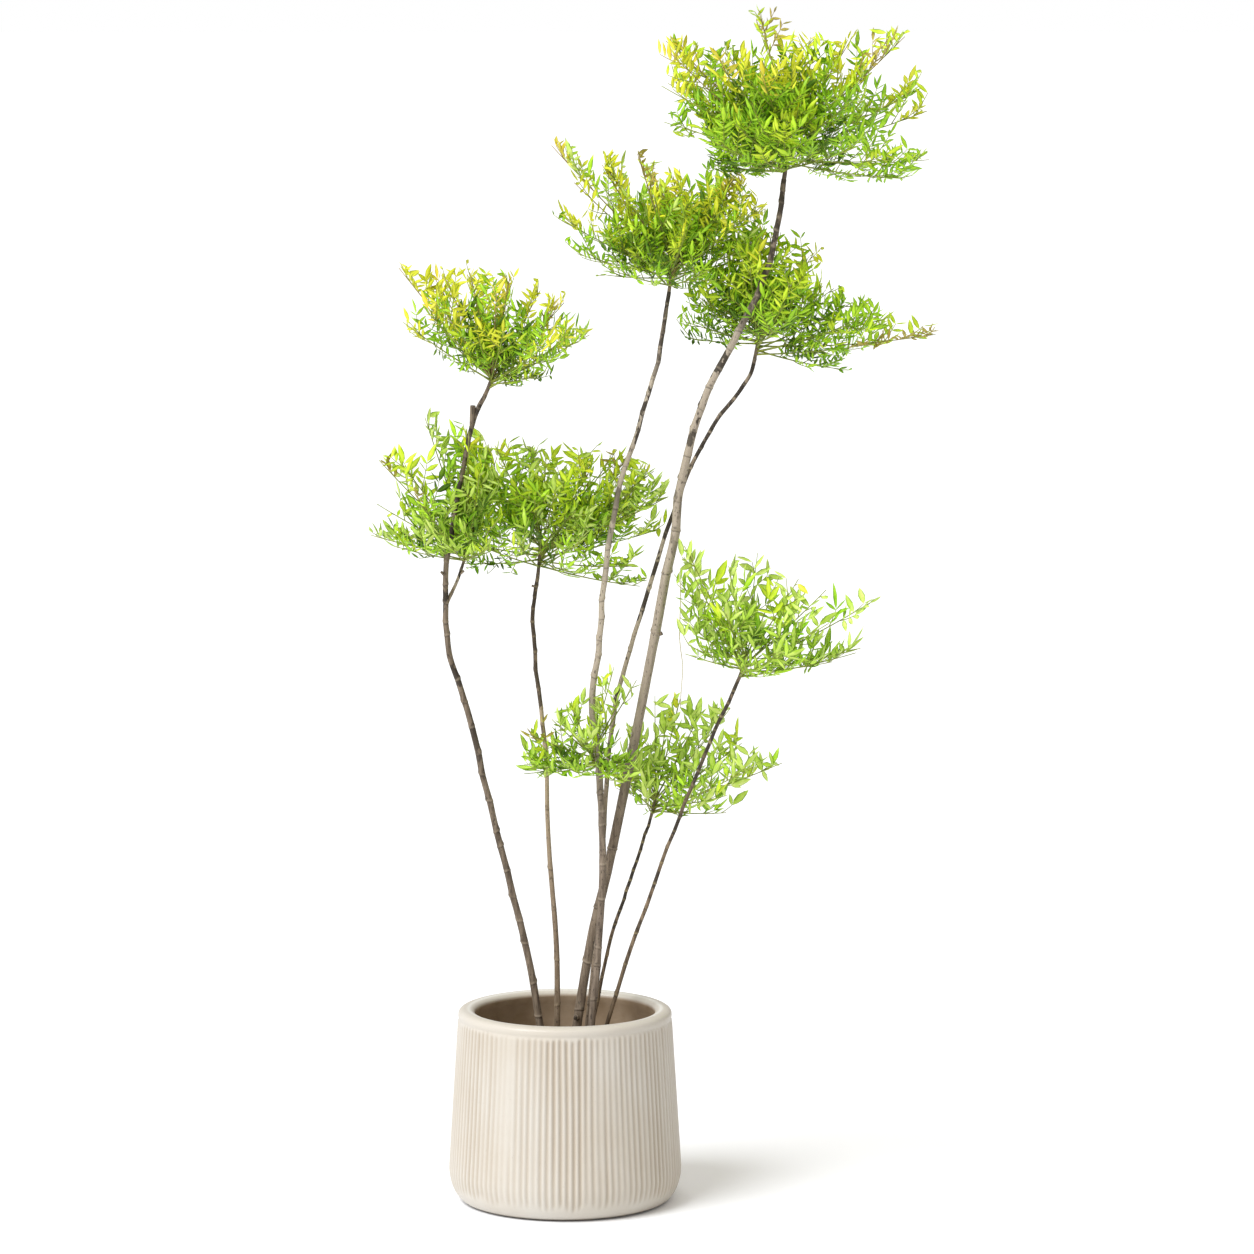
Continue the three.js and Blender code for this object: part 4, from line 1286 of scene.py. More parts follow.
@dataclass(frozen=True)
class Look:
    """What only the scene has of a crown, in millimetres and degrees.

    leaflet is a leaflet's length and width, pitch the distance from pair to pair in such lengths, splay their
    angle to the stalk, rise how much they turn up and level how flat they lie. extra fronds rise from lift,
    on the right and left, to crest, and narrow shortens those at the sides. An aimed one has an azimuth, a
    rise and a length. front is how much further leaves reach to the front. keep and thin are shares of sprays
    kept, and left out where the crown is open. inner places small sprays. rusty and sparse outline fronds, by
    number, are bronze or nearly bare. Leaves close to the root may hang, and bays cut into the outline.

    shade is added to a spray's lightness, vary is its spread and west what it loses to the right. sunny is
    the lightness of yellow green, and light, young and bronze are shares of sprays in those tones.
    """

    leaflet: Pair
    extra: int
    shade: float
    bronze: float
    young: float = 0.0
    keep: float = 1.0
    pitch: float = 0.46
    rise: float = 0.16
    thin: float = 0.35
    front: float = 1.0
    lift: Pair = (16.0, 26.0)
    crest: float = 84.0
    narrow: float = 0.16
    inner: tuple[float, ...] = (0.16, 0.26)
    vary: float = 0.3
    sunny: float = 0.68
    light: float = 0.0
    splay: float = 72.0
    level: float = 0.6
    close: float = 40.0
    rusty: tuple[int, ...] = ()
    sparse: tuple[int, ...] = ()
    west: float = 0.0
    bays: tuple[Pair, ...] = ((0, 999),)
    aimed: tuple[Triple, ...] = ()


@dataclass(frozen=True)
class Crown:
    """A mass of foliage that fans up and out of a limb's tip, or out of a cane's side at a place.

    reach holds its outline as the viewer sees it: the angle from the right through straight up to the left,
    in degrees, and how far the crown reaches there, in millimetres. fill is how many fronds fill it.
    """

    limb: str
    seed: int
    shoot: float
    fill: int
    spray: float
    reach: tuple[Pair, ...]
    look: Look
    depth: float = 0.95
    at: Triple | None = None
    out: Triple | None = None

    def start(self) -> tuple[Array, Array]:
        """Where the crown's shoot starts, and its direction there."""
        if self.at is not None:
            return np.array(self.at, float), unit(np.array(self.out, float))
        line = smooth_line(CANES[self.limb].route)
        along = unit(line.samples[-1] - line.samples[-2])
        return line.samples[-1] + along * SEAT_GAP, along

    def shoot_line(self) -> Line:
        """The line of the shoot inside the crown, which bends upright past its first third."""
        root, along = self.start()
        middle = root + along * self.shoot * 0.4
        rise = unit(along + UP * (0.0 if self.at is not None else 0.8))
        return Line(bezier(root, middle, middle + rise * self.shoot * 0.6, np.linspace(0, 1, 60)))

    @property
    def top(self) -> float:
        """The height of the outline over the crown's root."""
        return max(far * math.sin(math.radians(angle)) for angle, far in self.reach)

    def space(self) -> Space:
        """The crown's ellipsoid, round the points of its outline."""
        angle, far = np.radians([a for a, _ in self.reach]), np.array([r for _, r in self.reach])
        flat = np.stack([far * np.cos(angle), far * np.sin(angle)])
        low, high = flat.min(axis=1), flat.max(axis=1)
        half, centre = (high - low) / 2, (high + low) / 2
        middle = self.start()[0] + np.array([centre[0], 0, centre[1]])
        return Space(middle, np.array([half[0], half[0] * self.depth, half[1]]))

    def envelope(self, azimuth: Array | float, rise: Array | float) -> tuple[Array, Array]:
        """The outline carried round to the front and back.

        The reach is the right side's at that rise and the left side's, weighed by (1 + cos azimuth) / 2 and
        the rest, and narrowed by 1 - (1 - depth) sin^2 azimuth.

        Args:
            azimuth: The angle round Z, in radians.
            rise: The angle above the level, in degrees.

        Returns:
            How far the crown reaches there, and its lowest rise at that azimuth.
        """
        angle, far = (np.array(column, float) for column in zip(*self.reach))
        right = (1 + np.cos(azimuth)) / 2
        facing, opposite = np.interp(rise, angle, far), np.interp(180 - np.asarray(rise), angle, far)
        reach = right * facing + (1 - right) * opposite
        low = right * angle[0] + (1 - right) * (180 - angle[-1])
        return (1 - (1 - self.depth) * np.sin(azimuth) ** 2) * reach, low

    def in_outline(self, offsets: Array) -> Array:
        """Whether points, given from the crown's root, lie where its leaves may be.

        They lie within the reach there and the look's bays, and not far below the lower edge unless they are
        close to the root.
        """
        rise = np.degrees(np.arctan2(offsets[..., 2], np.hypot(offsets[..., 0], offsets[..., 1])))
        azimuth = np.arctan2(offsets[..., 1], offsets[..., 0])
        far, low = self.envelope(azimuth, rise)
        away = np.linalg.norm(offsets, axis=-1)
        seen = np.degrees(np.arctan2(offsets[..., 2], offsets[..., 0])) % 360
        open_to = np.interp(seen, *np.array(self.look.bays, float).T)
        inside = np.hypot(offsets[..., 0], offsets[..., 2]) < open_to
        inside &= away < far * self.forward(azimuth) + RULE.over
        return inside & ((rise > low - RULE.under) | (away < self.look.close))

    def forward(self, azimuth: Array | float) -> Array | float:
        """How many times the solid's reach leaves reach there: 1 + (front - 1) . max(-sin azimuth, 0)."""
        return 1 + (self.look.front - 1) * np.clip(-np.sin(azimuth), 0, 1)

    def fronds(self) -> list[Frond]:
        """The fronds: the source's, those that mark the outline first, then those that only the scene has."""
        draw = Draws(self.seed)
        found: list[tuple[Array, float]] = []
        for angle, far in self.reach:
            turn = math.radians(angle)
            aside = (draw() - 0.5) * 0.6 * far * self.depth
            tip = np.array([far * math.cos(turn), aside, far * math.sin(turn)])
            found.append((tip, angle if angle <= 90 else 180 - angle))
        start = draw() * 360
        for i in range(self.fill):
            azimuth = math.radians(start + i * GOLDEN_ANGLE)
            low = self.envelope(azimuth, 0.0)[1]
            rise = low + RULE.lowest + (RULE.steepest - low) * (i + 0.5) / self.fill
            far = self.envelope(azimuth, rise)[0]
            length = far * (RULE.shortest + (RULE.longest - RULE.shortest) * draw())
            found.append((self.point(length, azimuth, rise), rise))
        made = []
        for i, (tip, rise) in enumerate(found):
            mark = i if i < len(self.reach) else -1
            made.append(Frond(tip, rise, self.foot_of(rise), Draws(self.seed * 100 + i), mark))
        return made + self.extra_fronds()

    def extra_fronds(self) -> list[Frond]:
        """The fronds that only the scene has: the extra ones, a golden angle apart, and the aimed ones."""
        look, made, draw = self.look, [], Draws(self.seed + 500)
        start = draw() * 360
        for i in range(look.extra):
            azimuth = math.radians(start + i * GOLDEN_ANGLE)
            azimuth -= 0.14 * math.sin(2 * azimuth)
            right = (1 + math.cos(azimuth)) / 2
            low = right * look.lift[0] + (1 - right) * look.lift[1] + 10 * math.sin(azimuth) ** 2
            rise = low + (look.crest - low) * ((i * GOLDEN_SHARE + 0.3) % 1) ** 1.15
            length = self.envelope(azimuth, rise)[0] * self.forward(azimuth) * (0.54 + 0.44 * draw())
            length *= 1 - look.narrow * math.cos(azimuth) ** 2
            made.append(Frond(self.point(length, azimuth, rise), rise, self.foot_of(rise),
                              Draws(self.seed * 100 + 50 + i)))
        for i, (azimuth, rise, length) in enumerate(look.aimed):
            tip = self.point(length, math.radians(azimuth), rise)
            made.append(Frond(tip, rise, 0.06 + 0.7 * max(rise, 0) / 90, Draws(self.seed * 100 + 99 - i)))
        return made

    @staticmethod
    def foot_of(rise: float) -> float:
        """The share of the shoot at which a frond of a rise in degrees leaves it."""
        return 0.25 + 0.73 * min(max((rise + 8) / 90, 0.0), 1.0)

    @staticmethod
    def point(length: float, azimuth: float, rise: float) -> Array:
        """The point at a length, an azimuth in radians and a rise in degrees from the root."""
        rise = math.radians(rise)
        level = length * math.cos(rise)
        return np.array([level * math.cos(azimuth), level * math.sin(azimuth), length * math.sin(rise)])

    def ribs(self) -> list[Rib]:
        """The fronds' ribs, from beside the shoot's centre line to their tips."""
        root, line, made = self.start()[0], self.shoot_line(), []
        for frond in self.fronds():
            attach, tip, ahead = line.at(frond.foot), frond.tip + root, line.ahead(frond.foot)
            outward = tip - attach
            attach = attach + unit(outward - ahead * (outward @ ahead)) * 0.9
            middle = (attach + tip) / 2
            middle[2] -= RULE.sag * math.cos(math.radians(frond.rise)) * np.linalg.norm(tip - attach)
            made.append(Rib(attach, middle, tip, frond.draw, frond.mark))
        return made

    def tone_of(self, rib: Rib, share: float, chance: np.random.Generator) -> Tone:
        """A spray's tone: the higher and the further out it stands, the lighter and the younger it is.

        The lightness is partly young growth and partly painted light: tops and outer sprays lit, low and
        inner ones in shade.

        With h for its height and a for its distance, as shares of the crown's height, its lightness is
        0.13 + 0.26 h + 0.42 h |h| + 0.1 share + 0.28 a^1.5 (0.35 + 0.65 h) + 0.05, plus shade and a stray,
        less west times its place to the right, and between 0.42 a and 0.42 + 0.62 h + 0.12 a.
        """
        rule, look, top = TONING, self.look, self.top
        offset = rib.at(share) - self.start()[0]
        height = offset[2] / top
        away = np.linalg.norm(offset) / (1.1 * top)
        value = rule.base + rule.height * height + rule.crest * height * abs(height) + rule.share * share
        value += rule.rim * away**1.5 * (rule.rim_low + rule.rim_high * height)
        stray = chance.normal(0, look.vary * (rule.stray[0] - rule.stray[1] * height))
        value += look.shade + rule.offset + (rule.lighter * stray if stray > 0 else stray)
        value -= look.west * offset[0] / top
        value = max(value, rule.least * away)
        value = min(value, rule.most[0] + rule.most[1] * height + rule.most[2] * away)
        if rib.mark in look.rusty and share > 0.45:
            return Tone.BRONZE if chance.uniform() < 0.5 else Tone.LIME
        if share > 0.8 and height > 0.6 and chance.uniform() < look.young:
            return Tone.BRONZE if chance.uniform() < look.bronze else Tone.YELLOW
        # The step of lightness: partly young growth, partly painted light and shade.
        tone = Tone(int(np.searchsorted([*rule.steps, look.sunny, rule.yellow], value)))
        return LIGHT_GREEN.get(tone, tone) if chance.uniform() < look.light else tone

    def thinning(self, rib: Rib, at: float, height: float) -> float:
        """The share of sprays left out: more high up and far along a rib, where the crown is open."""
        if rib.mark in self.look.sparse and at > 0.5:
            return 0.75
        open_share = min(max((height - 0.45) / 0.4, (at - 0.6) / 0.3, 0.0), 1.0)
        return self.look.thin * open_share * (0.15 if rib.mark >= 0 else 1.0)

    @staticmethod
    def leaving(rib: Rib, at: float, across: int, angle: float, roll: float, lean: float,
                turn: float) -> tuple[Array, Array]:
        """How a spray leaves its rib: cos angle . ahead + across . sin angle . side + lean . face.

        Args:
            rib: The rib.
            at: The share of the rib.
            across: The side, -1 or 1.
            angle: The angle between rib and spray, in radians.
            roll: How far the frond's plane is turned about the rib, in radians.
            lean: How much the spray rises out of that plane.
            turn: How far the spray is turned about its own length, in radians.

        Returns:
            Its direction and its upper side.
        """
        ahead = rib.ahead(at)
        side = turned(unit(np.cross(ahead, UP)), ahead, roll)
        face = np.cross(side, ahead)
        along = unit(math.cos(angle) * ahead + across * math.sin(angle) * side + face * lean)
        return along, turned(unit(face - along * (face @ along)), along, turn)

    def sprays(self, ribs: list[Rib]) -> Sprays:
        """The sprays along the ribs, in pairs and one at each tip, by the source's rule.

        A spray leaves its rib at 60 degrees for the first pair and 38 for the last, rises a little out of
        the frond's plane, and is turned about its own length. Small ones that only the scene has stand nearer
        to the joint.
        """
        chance, inner = np.random.default_rng(self.seed), np.random.default_rng(self.seed + 7)
        top, root = self.top, self.start()[0]
        rows: list[tuple[Array, Array, Array, float, float, int, int]] = []
        for number, rib in enumerate(ribs):
            draw, length = rib.draw, rib.length
            pairs = max(2, round((RULE.last - RULE.first) * length / RULE.spacing) + 1)
            roll = math.radians(RULE.roll) * (2 * draw() - 1)
            for i in range(pairs):
                for across in (-1, 1):
                    at = RULE.first + (RULE.last - RULE.first) * (i + 0.25 * across) / (pairs - 1)
                    angle = math.radians(RULE.spread[0] + (RULE.spread[1] - RULE.spread[0]) * i / (pairs - 1))
                    size = (0.86 + 0.28 * draw()) * (1.1 - 0.35 * at)
                    lean = RULE.lift + 0.5 * (draw() - 0.5)
                    turn = math.radians(RULE.turn) * (2 * draw() - 1)
                    along, upper = self.leaving(rib, at, across, angle, roll, lean, turn)
                    height = (rib.at(at)[2] + along[2] * self.spray * size - root[2]) / top
                    if chance.uniform() < self.look.keep * (1 - self.thinning(rib, at, height)):
                        tone = self.tone_of(rib, at, chance)
                        rows.append((rib.at(at), along, upper, self.spray * size, at, tone, number))
            for at in self.look.inner:
                for across in (-1, 1):
                    angle, size = inner.uniform(0.8, 1.15), self.spray * inner.uniform(0.45, 0.8)
                    lean, turn = inner.uniform(0, 0.7), inner.normal(0, 0.4)
                    along, upper = self.leaving(rib, at, across, angle, roll, lean, turn)
                    tone = self.tone_of(rib, at, inner)
                    if at * length > 22 and inner.uniform() < 0.85:
                        rows.append((rib.at(at), along, upper, size, at, tone, number))
            at = 1 - min(0.4, self.spray * 0.8 / length)
            along = rib.tip - rib.at(at)
            side = unit(np.cross(along, UP))
            upper = turned(np.cross(side, unit(along)), unit(along), roll)
            tone = self.tone_of(rib, 1.0, chance)
            rows.append((rib.at(at), unit(along), upper, float(np.linalg.norm(along)), 1.0, tone, number))
        return Sprays(*(np.array(column) for column in zip(*rows)))

    def runs(self, sprays: Sprays) -> Array:
        """The stalks' lengths: the sprays' own less 0.8 of a leaflet, but no less than 0.3 of them."""
        return (sprays.long - 0.8 * self.look.leaflet[0]).clip(0.3 * sprays.long)

    def stalk(self, sprays: Sprays, share: Array) -> tuple[Array, Array]:
        """Points on the sprays' stalks, and the directions there.

        A point is foot + run (s . along + 0.2 s^2 . up), where the run leaves room for the end leaflet.

        Args:
            sprays: The sprays.
            share: The shares s of the stalks' length, with the sprays first.

        Returns:
            The points and the directions, with x, y and z last.
        """
        run = self.runs(sprays)[:, None, None]
        s, along = share[..., None], sprays.along[:, None, :]
        points = sprays.foot[:, None, :] + run * (s * along + 0.2 * s**2 * UP)
        return points, unit(along + 0.4 * s * UP)

    def leaflets(self, sprays: Sprays) -> Leaflets:
        """The leaflets of the sprays: pairs along each stalk and one at its end.

        One of a pair points along cos angle . ahead + across . sin angle . side + lift . face.
        """
        chance = np.random.default_rng(self.seed + 1)
        rule, look = LEAFING, self.look
        long, wide = look.leaflet
        run = self.runs(sprays)
        pairs = np.maximum(1, np.round(0.8 * run / (look.pitch * long)).astype(int) + 1)
        most, numbers = int(pairs.max()), np.arange(len(run))
        step, last = np.arange(most)[None, :], np.maximum(pairs[:, None] - 1, 1)
        share = np.where(pairs[:, None] > 1, rule.first + rule.spread * step / last, rule.lone)
        points, ahead = self.stalk(sprays, share)
        side = unit(np.cross(ahead, sprays.upper[:, None, :]))
        face = np.cross(side, ahead)
        parts = []
        for across in (-1, 0, 1):
            if across == 0:
                end, onward = self.stalk(sprays, np.ones((len(run), 1)))
                foot, alive = end[:, 0], np.ones(len(run), bool)
                direction = onward[:, 0] + chance.normal(0, rule.end_sway, (len(run), 3))
                plane, tone, number, place = sprays.upper, sprays.tone, numbers, np.ones(len(run))
                size = long * chance.uniform(*rule.end_size, len(run))
            else:
                alive = (step < pairs[:, None]) & (chance.uniform(size=share.shape) < rule.present)
                angle = look.splay - rule.closing * share + chance.normal(0, rule.stray, share.shape)
                angle = np.radians(angle)[..., None]
                lift = chance.normal(*rule.lift, share.shape)[..., None]
                direction = np.cos(angle) * ahead + across * np.sin(angle) * side + lift * face
                foot, plane, place = points, face, share
                greatest, shrinks, middle = rule.fullest
                size = long * (greatest - shrinks * np.abs(share - middle))
                size = size * chance.uniform(*rule.size, share.shape)
                tone, number = (np.repeat(one[:, None], most, 1) for one in (sprays.tone, numbers))
            direction, plane = direction.reshape(-1, 3), plane.reshape(-1, 3)
            direction = unit(direction + look.rise * UP + chance.normal(0, rule.sway, direction.shape))
            plane = unit(plane) + look.level * UP
            upper = unit(plane - direction * np.sum(plane * direction, axis=-1, keepdims=True))
            upper = turned(upper, direction, chance.normal(0, rule.roll, len(direction)))
            away = np.linalg.norm(foot.reshape(-1, 3) - self.start()[0], axis=-1)
            size = size.reshape(-1) * np.interp(away, *zip(*rule.near))
            size *= np.where(tone.reshape(-1) == Tone.BRONZE, rule.bronze, 1.0)
            width = wide / long * size * chance.uniform(*rule.width, len(size))
            droop = chance.uniform(*rule.droop, len(size))
            made = Leaflets(foot.reshape(-1, 3), direction, upper, size, width, droop, tone.reshape(-1),
                            number.reshape(-1), place.reshape(-1))
            parts.append(made.kept(alive.reshape(-1)))
        columns = Leaflets.__dataclass_fields__
        return Leaflets(*(np.concatenate([getattr(part, name) for part in parts]) for name in columns))


CROWNS = {
    "foliage_top": Crown(
        limb="cane_tall", seed=11, shoot=78, fill=12, spray=74,
        reach=((1, 185), (7, 230), (25, 246), (33, 252), (49, 290), (64, 243), (79, 222), (99, 262),
            (116, 222), (131, 281), (143, 240), (155, 206), (166, 118)),
        look=Look(
            leaflet=(21, 6.1), extra=24, shade=0.07, young=0.4, bronze=0.4, rise=-0.06, thin=0.9,
            lift=(38, 32), narrow=0.3, rusty=(4, 7), west=0.08,
            bays=((11, 400), (13, 210), (22, 185), (26, 400), (64, 400), (66, 225), (73, 220), (76, 232),
                (82, 222), (88, 400), (103, 400), (105, 228), (113, 220), (119, 228), (124, 255), (127, 400),
                (132, 400), (136, 252), (139, 212), (147, 205), (154, 215), (158, 190), (160, 140),
                (165, 122), (168, 400)),
            sparse=(10, 11),
            aimed=((178, 36, 168), (-172, 28, 160), (170, 44, 180), (10, 50, 215), (-105, 14, 165),
                (-75, 16, 165), (-132, 20, 185), (-50, 18, 190), (-150, 24, 150), (-92, 26, 175),
                (-118, 28, 190), (100, 14, 150), (178, 11, 116), (-168, 12, 114), (165, 50, 274),
                (-168, 47, 266)))),
    "foliage_upper_middle": Crown(
        limb="cane_middle", seed=23, shoot=50, fill=8, spray=68,
        reach=((14, 106), (28, 165), (43, 200), (60, 200), (84, 172), (103, 222), (117, 225), (129, 294),
            (146, 210), (157, 157), (166, 105)),
        look=Look(
            leaflet=(20.5, 5.9), extra=20, shade=0.19, young=0.45, bronze=0.4, rise=-0.06, thin=0.75,
            lift=(16, 34), narrow=0.4, light=0.1, rusty=(5,), west=0.08,
            bays=((133, 400), (135, 166), (138, 166), (140, 400), (156, 400), (158, 122), (166, 106),
                (169, 400)),
            aimed=((-10, 50, 205), (15, 60, 208), (-30, 42, 190), (5, 33, 170), (30, 50, 195), (-8, 60, 208),
                (8, 54, 210), (178, 62, 225), (-100, 16, 120), (-60, 18, 125), (-140, 18, 125)))),
    "foliage_upper_right": Crown(
        limb="cane_behind", seed=37, shoot=50, fill=7, spray=68,
        reach=((-8, 137), (8, 287), (18, 215), (42, 166), (61, 190), (78, 200), (98, 190), (118, 170),
            (137, 140), (152, 125), (163, 106)),
        look=Look(
            leaflet=(21.5, 6.2), extra=14, shade=0.04, young=0.02, bronze=0.2, rise=-0.1, thin=0.55,
            front=1.2, lift=(12, 52), narrow=0.2, sunny=1.0, rusty=(1,),
            bays=((0, 140), (3, 140), (6, 400), (19, 400), (21, 218), (28, 208), (34, 175), (52, 168),
                (55, 400), (350, 400), (353, 145)),
            inner=(0.26,),
            aimed=((-95, 50, 198), (-67, 42, 190), (-88, 60, 200), (-72, 34, 170), (-8, 8, 215),
                (10, 18, 215), (-22, 20, 190), (-12, 30, 180), (-150, 80, 192), (20, 82, 198), (-60, 84, 196),
                (120, 85, 192)))),
    "foliage_upper_left": Crown(
        limb="cane_left", seed=41, shoot=36, fill=7, spray=62,
        reach=((20, 96), (30, 188), (49, 187), (62, 182), (78, 187), (97, 192), (109, 196), (125, 238),
            (138, 171)),
        look=Look(
            leaflet=(20.5, 5.8), extra=16, shade=0.07, young=0.35, bronze=0.5, rise=-0.08, thin=0.65,
            lift=(28, 42), narrow=0.26, west=0.05, bays=((126, 400), (129, 158), (132, 155), (134, 400)),
            aimed=((5, 34, 182), (-20, 34, 170), (15, 50, 180), (20, 62, 182))),
        depth=1.0),
    "foliage_left": Crown(
        limb="bough_left", seed=53, shoot=34, fill=6, spray=60,
        reach=((30, 80), (66, 142), (88, 215), (104, 240), (128, 211), (146, 165), (164, 152)),
        look=Look(
            leaflet=(25, 7.5), extra=9, shade=0.12, bronze=0.6, rise=0.0, thin=0.6, lift=(30, 20), sunny=1.05,
            light=0.5, rusty=(4,),
            bays=((131, 400), (134, 150), (140, 126), (150, 136), (153, 152), (157, 400)),
            sparse=(4,),
            aimed=((-10, 72, 178), (5, 82, 205), (-70, 60, 200), (-110, 70, 215), (-60, 35, 150),
                (-120, 40, 165), (182, 15, 158), (-145, 16, 130), (-95, 17, 120), (-65, 19, 115),
                (160, 18, 140), (-80, 72, 225), (-85, 80, 226), (10, 76, 190), (-40, 74, 200)))),
    "foliage_centre": Crown(
        limb="cane_slender", seed=61, shoot=66, fill=7, spray=62,
        reach=((-5, 163), (8, 150), (20, 208), (32, 244), (43, 252), (52, 236), (68, 208), (93, 212),
            (108, 215), (128, 175), (156, 137), (168, 118)),
        look=Look(
            leaflet=(23, 6.8), extra=21, shade=0.07, bronze=0.5, rise=-0.1, thin=0.5, lift=(24, 22),
            sunny=1.05, light=0.3, narrow=0.22, inner=(), rusty=(5,), west=-0.12,
            aimed=((8, 34, 205), (-12, 42, 225), (15, 50, 236), (-40, 60, 225), (-80, 66, 215),
                (-100, 24, 165), (-60, 26, 170), (-140, 26, 160), (20, 56, 240)))),
    "foliage_right": Crown(
        limb="cane_right", seed=79, shoot=34, fill=5, spray=58,
        reach=((10, 150), (16, 197), (30, 244), (45, 195), (59, 182), (81, 195), (95, 175), (112, 228),
            (122, 190), (133, 135), (155, 92)),
        look=Look(
            leaflet=(28.5, 9.0), extra=6, keep=0.85, shade=0.17, bronze=0.2, pitch=0.5, rise=0.06, thin=0.75,
            lift=(14, 36), vary=0.2, sunny=0.85, light=0.8, level=0.8, inner=(0.26,),
            aimed=((175, 66, 210), (-8, 14, 190), (-85, 18, 120), (-60, 24, 140)),
            bays=((40, 400), (42, 192), (46, 176), (66, 164), (70, 175), (74, 400)))),
    "foliage_low": Crown(
        limb="cane_short", seed=83, shoot=40, fill=4, spray=56,
        reach=((2, 122), (24, 229), (40, 190), (55, 221), (76, 195), (88, 197), (105, 150), (128, 90)),
        look=Look(
            leaflet=(28, 9.0), extra=4, keep=0.75, shade=0.17, bronze=0.1, pitch=0.54, rise=0.06, thin=0.6,
            lift=(14, 54), vary=0.2, sunny=0.9, light=0.7, level=0.8, inner=(0.26,),
            aimed=((-15, 28, 190), (-55, 22, 135), (-95, 24, 125), (15, 40, 195), (-128, 44, 120),
                (178, 62, 112), (30, 52, 210)))),
    "foliage_shoot": Crown(
        limb="cane_middle", seed=97, shoot=34, fill=3, spray=52,
        reach=((65, 143), (81, 160), (114, 96), (134, 105), (154, 130), (174, 112), (188, 119)),
        look=Look(
            leaflet=(27.5, 8.7), extra=0, keep=0.75, shade=0.18, bronze=0.6, pitch=0.54, rise=0.06, thin=0.5,
            lift=(50, 0), crest=50, vary=0.2, sunny=0.85, light=0.7, level=0.8, close=105, rusty=(4,),
            aimed=((-75, -6, 96), (-45, 0, 92), (-110, 0, 90), (-60, -12, 84), (172, -4, 110), (188, 2, 118),
                (-160, -5, 92), (-30, 12, 44), (-70, -6, 44), (-110, 14, 46), (10, -12, 40), (-20, 50, 60),
                (-95, 40, 70))),
        depth=1.0, at=(52, -22, 682), out=(-0.35, 0.75, 0.5)),
}


